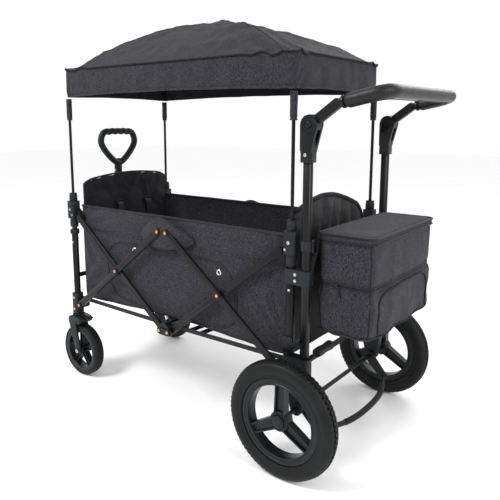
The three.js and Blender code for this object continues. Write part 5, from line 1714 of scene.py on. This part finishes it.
# Soft dark corner pads where the tub meets the posts.
for side, s in SIDES:
    for end, e in ENDS:
        body = "rear_frame" if e > 0 else "front_frame"
        cuff = Mesh()

        def cuff_point(i, j, s=s, e=e):
            z = 0.524 + 0.028 * i / 14
            a = 2 * math.pi * j / 36
            r = 0.0128 + 0.0010 * math.sin(math.pi * i / 14) + 0.0005 * crumple((a, z * 8, s + e), 2, 3)
            return at(e * LEG_X + r * math.cos(a), s * LEG_Y + r * math.sin(a), z)
        rows = cuff.grid(15, 36, cuff_point, True)

        def bore_point(i, j, s=s, e=e):
            a = 2 * math.pi * j / 36
            return at(e * LEG_X + 0.0114 * math.cos(a), s * LEG_Y + 0.0114 * math.sin(a), 0.524 + 0.028 * i)
        inner_rows = cuff.grid(2, 36, bore_point, True)
        cuff.bridge(rows[0], inner_rows[0])
        cuff.bridge(rows[-1], inner_rows[-1])
        piece(f"post_cuff_{end}_{side}", cuff, body, WEBBING, angle=70)

# ---------------------------------------------------------------- webbing under the tub and small fastenings
for side, s in SIDES:
    y = s * (LEG_Y - 0.0005)
    line = [at(-LEG_X + 0.016, s * 0.213, 0.2725), at(-0.30, s * 0.212, 0.2705), at(0.0, s * 0.212, 0.2680),
            at(0.30, s * 0.212, 0.2695), at(LEG_X - 0.016, s * 0.213, 0.2715)]
    folds_up(piece(f"floor_webbing_{side}", strap_along(line, 0.013, 0.0022, (0, 0, 1)), "rear_frame",
                   WEBBING, angle=50))
    tab = Mesh().prism([(MID_X + a, b) for a,
                        b in rounded(LEG_X - 0.058, 0.556, LEG_X - 0.030, 0.588, 0.003, 4)],
                       s * (HALF_Y + 0.0005), s * (HALF_Y + 0.0024))
    folds_up(piece(f"corner_tab_{side}", tab, "rear_frame", WEBBING, bevel=0.0005, angle=50))
for q in (0.085, 0.125):
    line = [at(q, -0.205, 0.270), at(q, -0.1, 0.2655), at(q, 0.0, 0.2645), at(q, 0.1, 0.2655),
            at(q, 0.205, 0.270)]
    folds_up(piece(f"cross_webbing_{int(q * 1000)}", strap_along(line, 0.022, 0.0022, (1, 0, 0)),
                   "rear_frame",
                   WEBBING, angle=50))
underside = Mesh()


def underside_point(i, j):
    u, v = i / 39, j / 19
    sag = 0.004 * math.sin(math.pi * u) * math.sin(math.pi * v)
    return at(-0.40 + 0.80 * u, -0.19 + 0.38 * v,
              0.2812 + 0.0016 * crumple((i * 0.02, j * 0.02, 0), 8, 14) - sag)


underside.grid(40, 20, underside_point)
made = underside.object("tub_underside")
thick = made.modifiers.new("thickness", "SOLIDIFY")
thick.thickness = 0.002
thick.offset = 1
baked(made)
finish_piece(made, "rear_frame", LINING, angle=80)
folds_up(made)
roll = Mesh()
for k in range(9):
    y0, y1 = -0.135 + 0.0085 * k, -0.135 + 0.0085 * (k + 1) - 0.001
    roll.tube([at(LEG_X + 0.028, y0, 0.272), at(LEG_X + 0.028, y1, 0.272)], 0.0125 + 0.0008 * math.sin(k), 20)
piece("rolled_rain_cover", roll, "rear_frame", NYLON, bevel=0.002, angle=40)


# ---------------------------------------------------------------- camera, light and floor
CAMERA_PLACE = (1.09349, -1.40234, 0.88035)
CAMERA_TILT = 90 - 9.4029
CAMERA_TURN = 37.9956
CAMERA_LENS = 41.34
CAMERA_SHIFT = (0.0281, -0.0688)
FLOOR_HALF = 14.0


def studio():
    world = bpy.data.worlds.new("studio")
    bpy.context.scene.world = world
    world.use_nodes = True
    world.node_tree.nodes["Background"].inputs["Color"].default_value = (1, 1, 1, 1)
    world.node_tree.nodes["Background"].inputs["Strength"].default_value = 1.0

    def area(name, place, aim, size, power):
        data = bpy.data.lights.new(name, "AREA")
        data.shape = "RECTANGLE"
        data.size, data.size_y = size
        data.energy = power
        lamp = bpy.data.objects.new(name, data)
        bpy.context.scene.collection.objects.link(lamp)
        lamp.location = place
        lamp.rotation_euler = (Vector(aim) - Vector(place)).to_track_quat("-Z", "Y").to_euler()
    area("key", (-0.9, -2.2, 2.9), (0, 0, 0.5), (1.1, 0.9), 84)
    area("side", (2.6, -0.6, 1.6), (0.2, 0, 0.6), (0.9, 1.2), 34)
    area("back", (0.4, 2.4, 2.2), (0, 0, 0.6), (1.6, 1.0), 24)
    m = Nodes("pale_floor", Roughness=0.55, Specular_IOR_Level=0.3)
    m.colour(m.ramp(m.noise(3, 2.0), ((0.3, (0.955, 0.955, 0.96)), (0.7, (0.975, 0.975, 0.975)))))
    floor = Mesh()
    edge = FLOOR_HALF
    floor.bm.faces.new([floor.bm.verts.new(p) for p in ((-edge, -edge, 0), (edge, -edge, 0), (edge, edge, 0),
                                                        (-edge, edge, 0))])
    made = floor.object("floor")
    made.data.materials.append(m.material)

    data = bpy.data.cameras.new("camera")
    data.sensor_width = 36
    data.lens = CAMERA_LENS
    data.shift_x, data.shift_y = CAMERA_SHIFT
    data.dof.use_dof = False
    camera = bpy.data.objects.new("camera", data)
    bpy.context.scene.collection.objects.link(camera)
    camera.location = CAMERA_PLACE
    camera.rotation_euler = (math.radians(CAMERA_TILT), 0, math.radians(CAMERA_TURN))
    bpy.context.scene.camera = camera
    bpy.context.scene.view_settings.view_transform = "Standard"


studio()
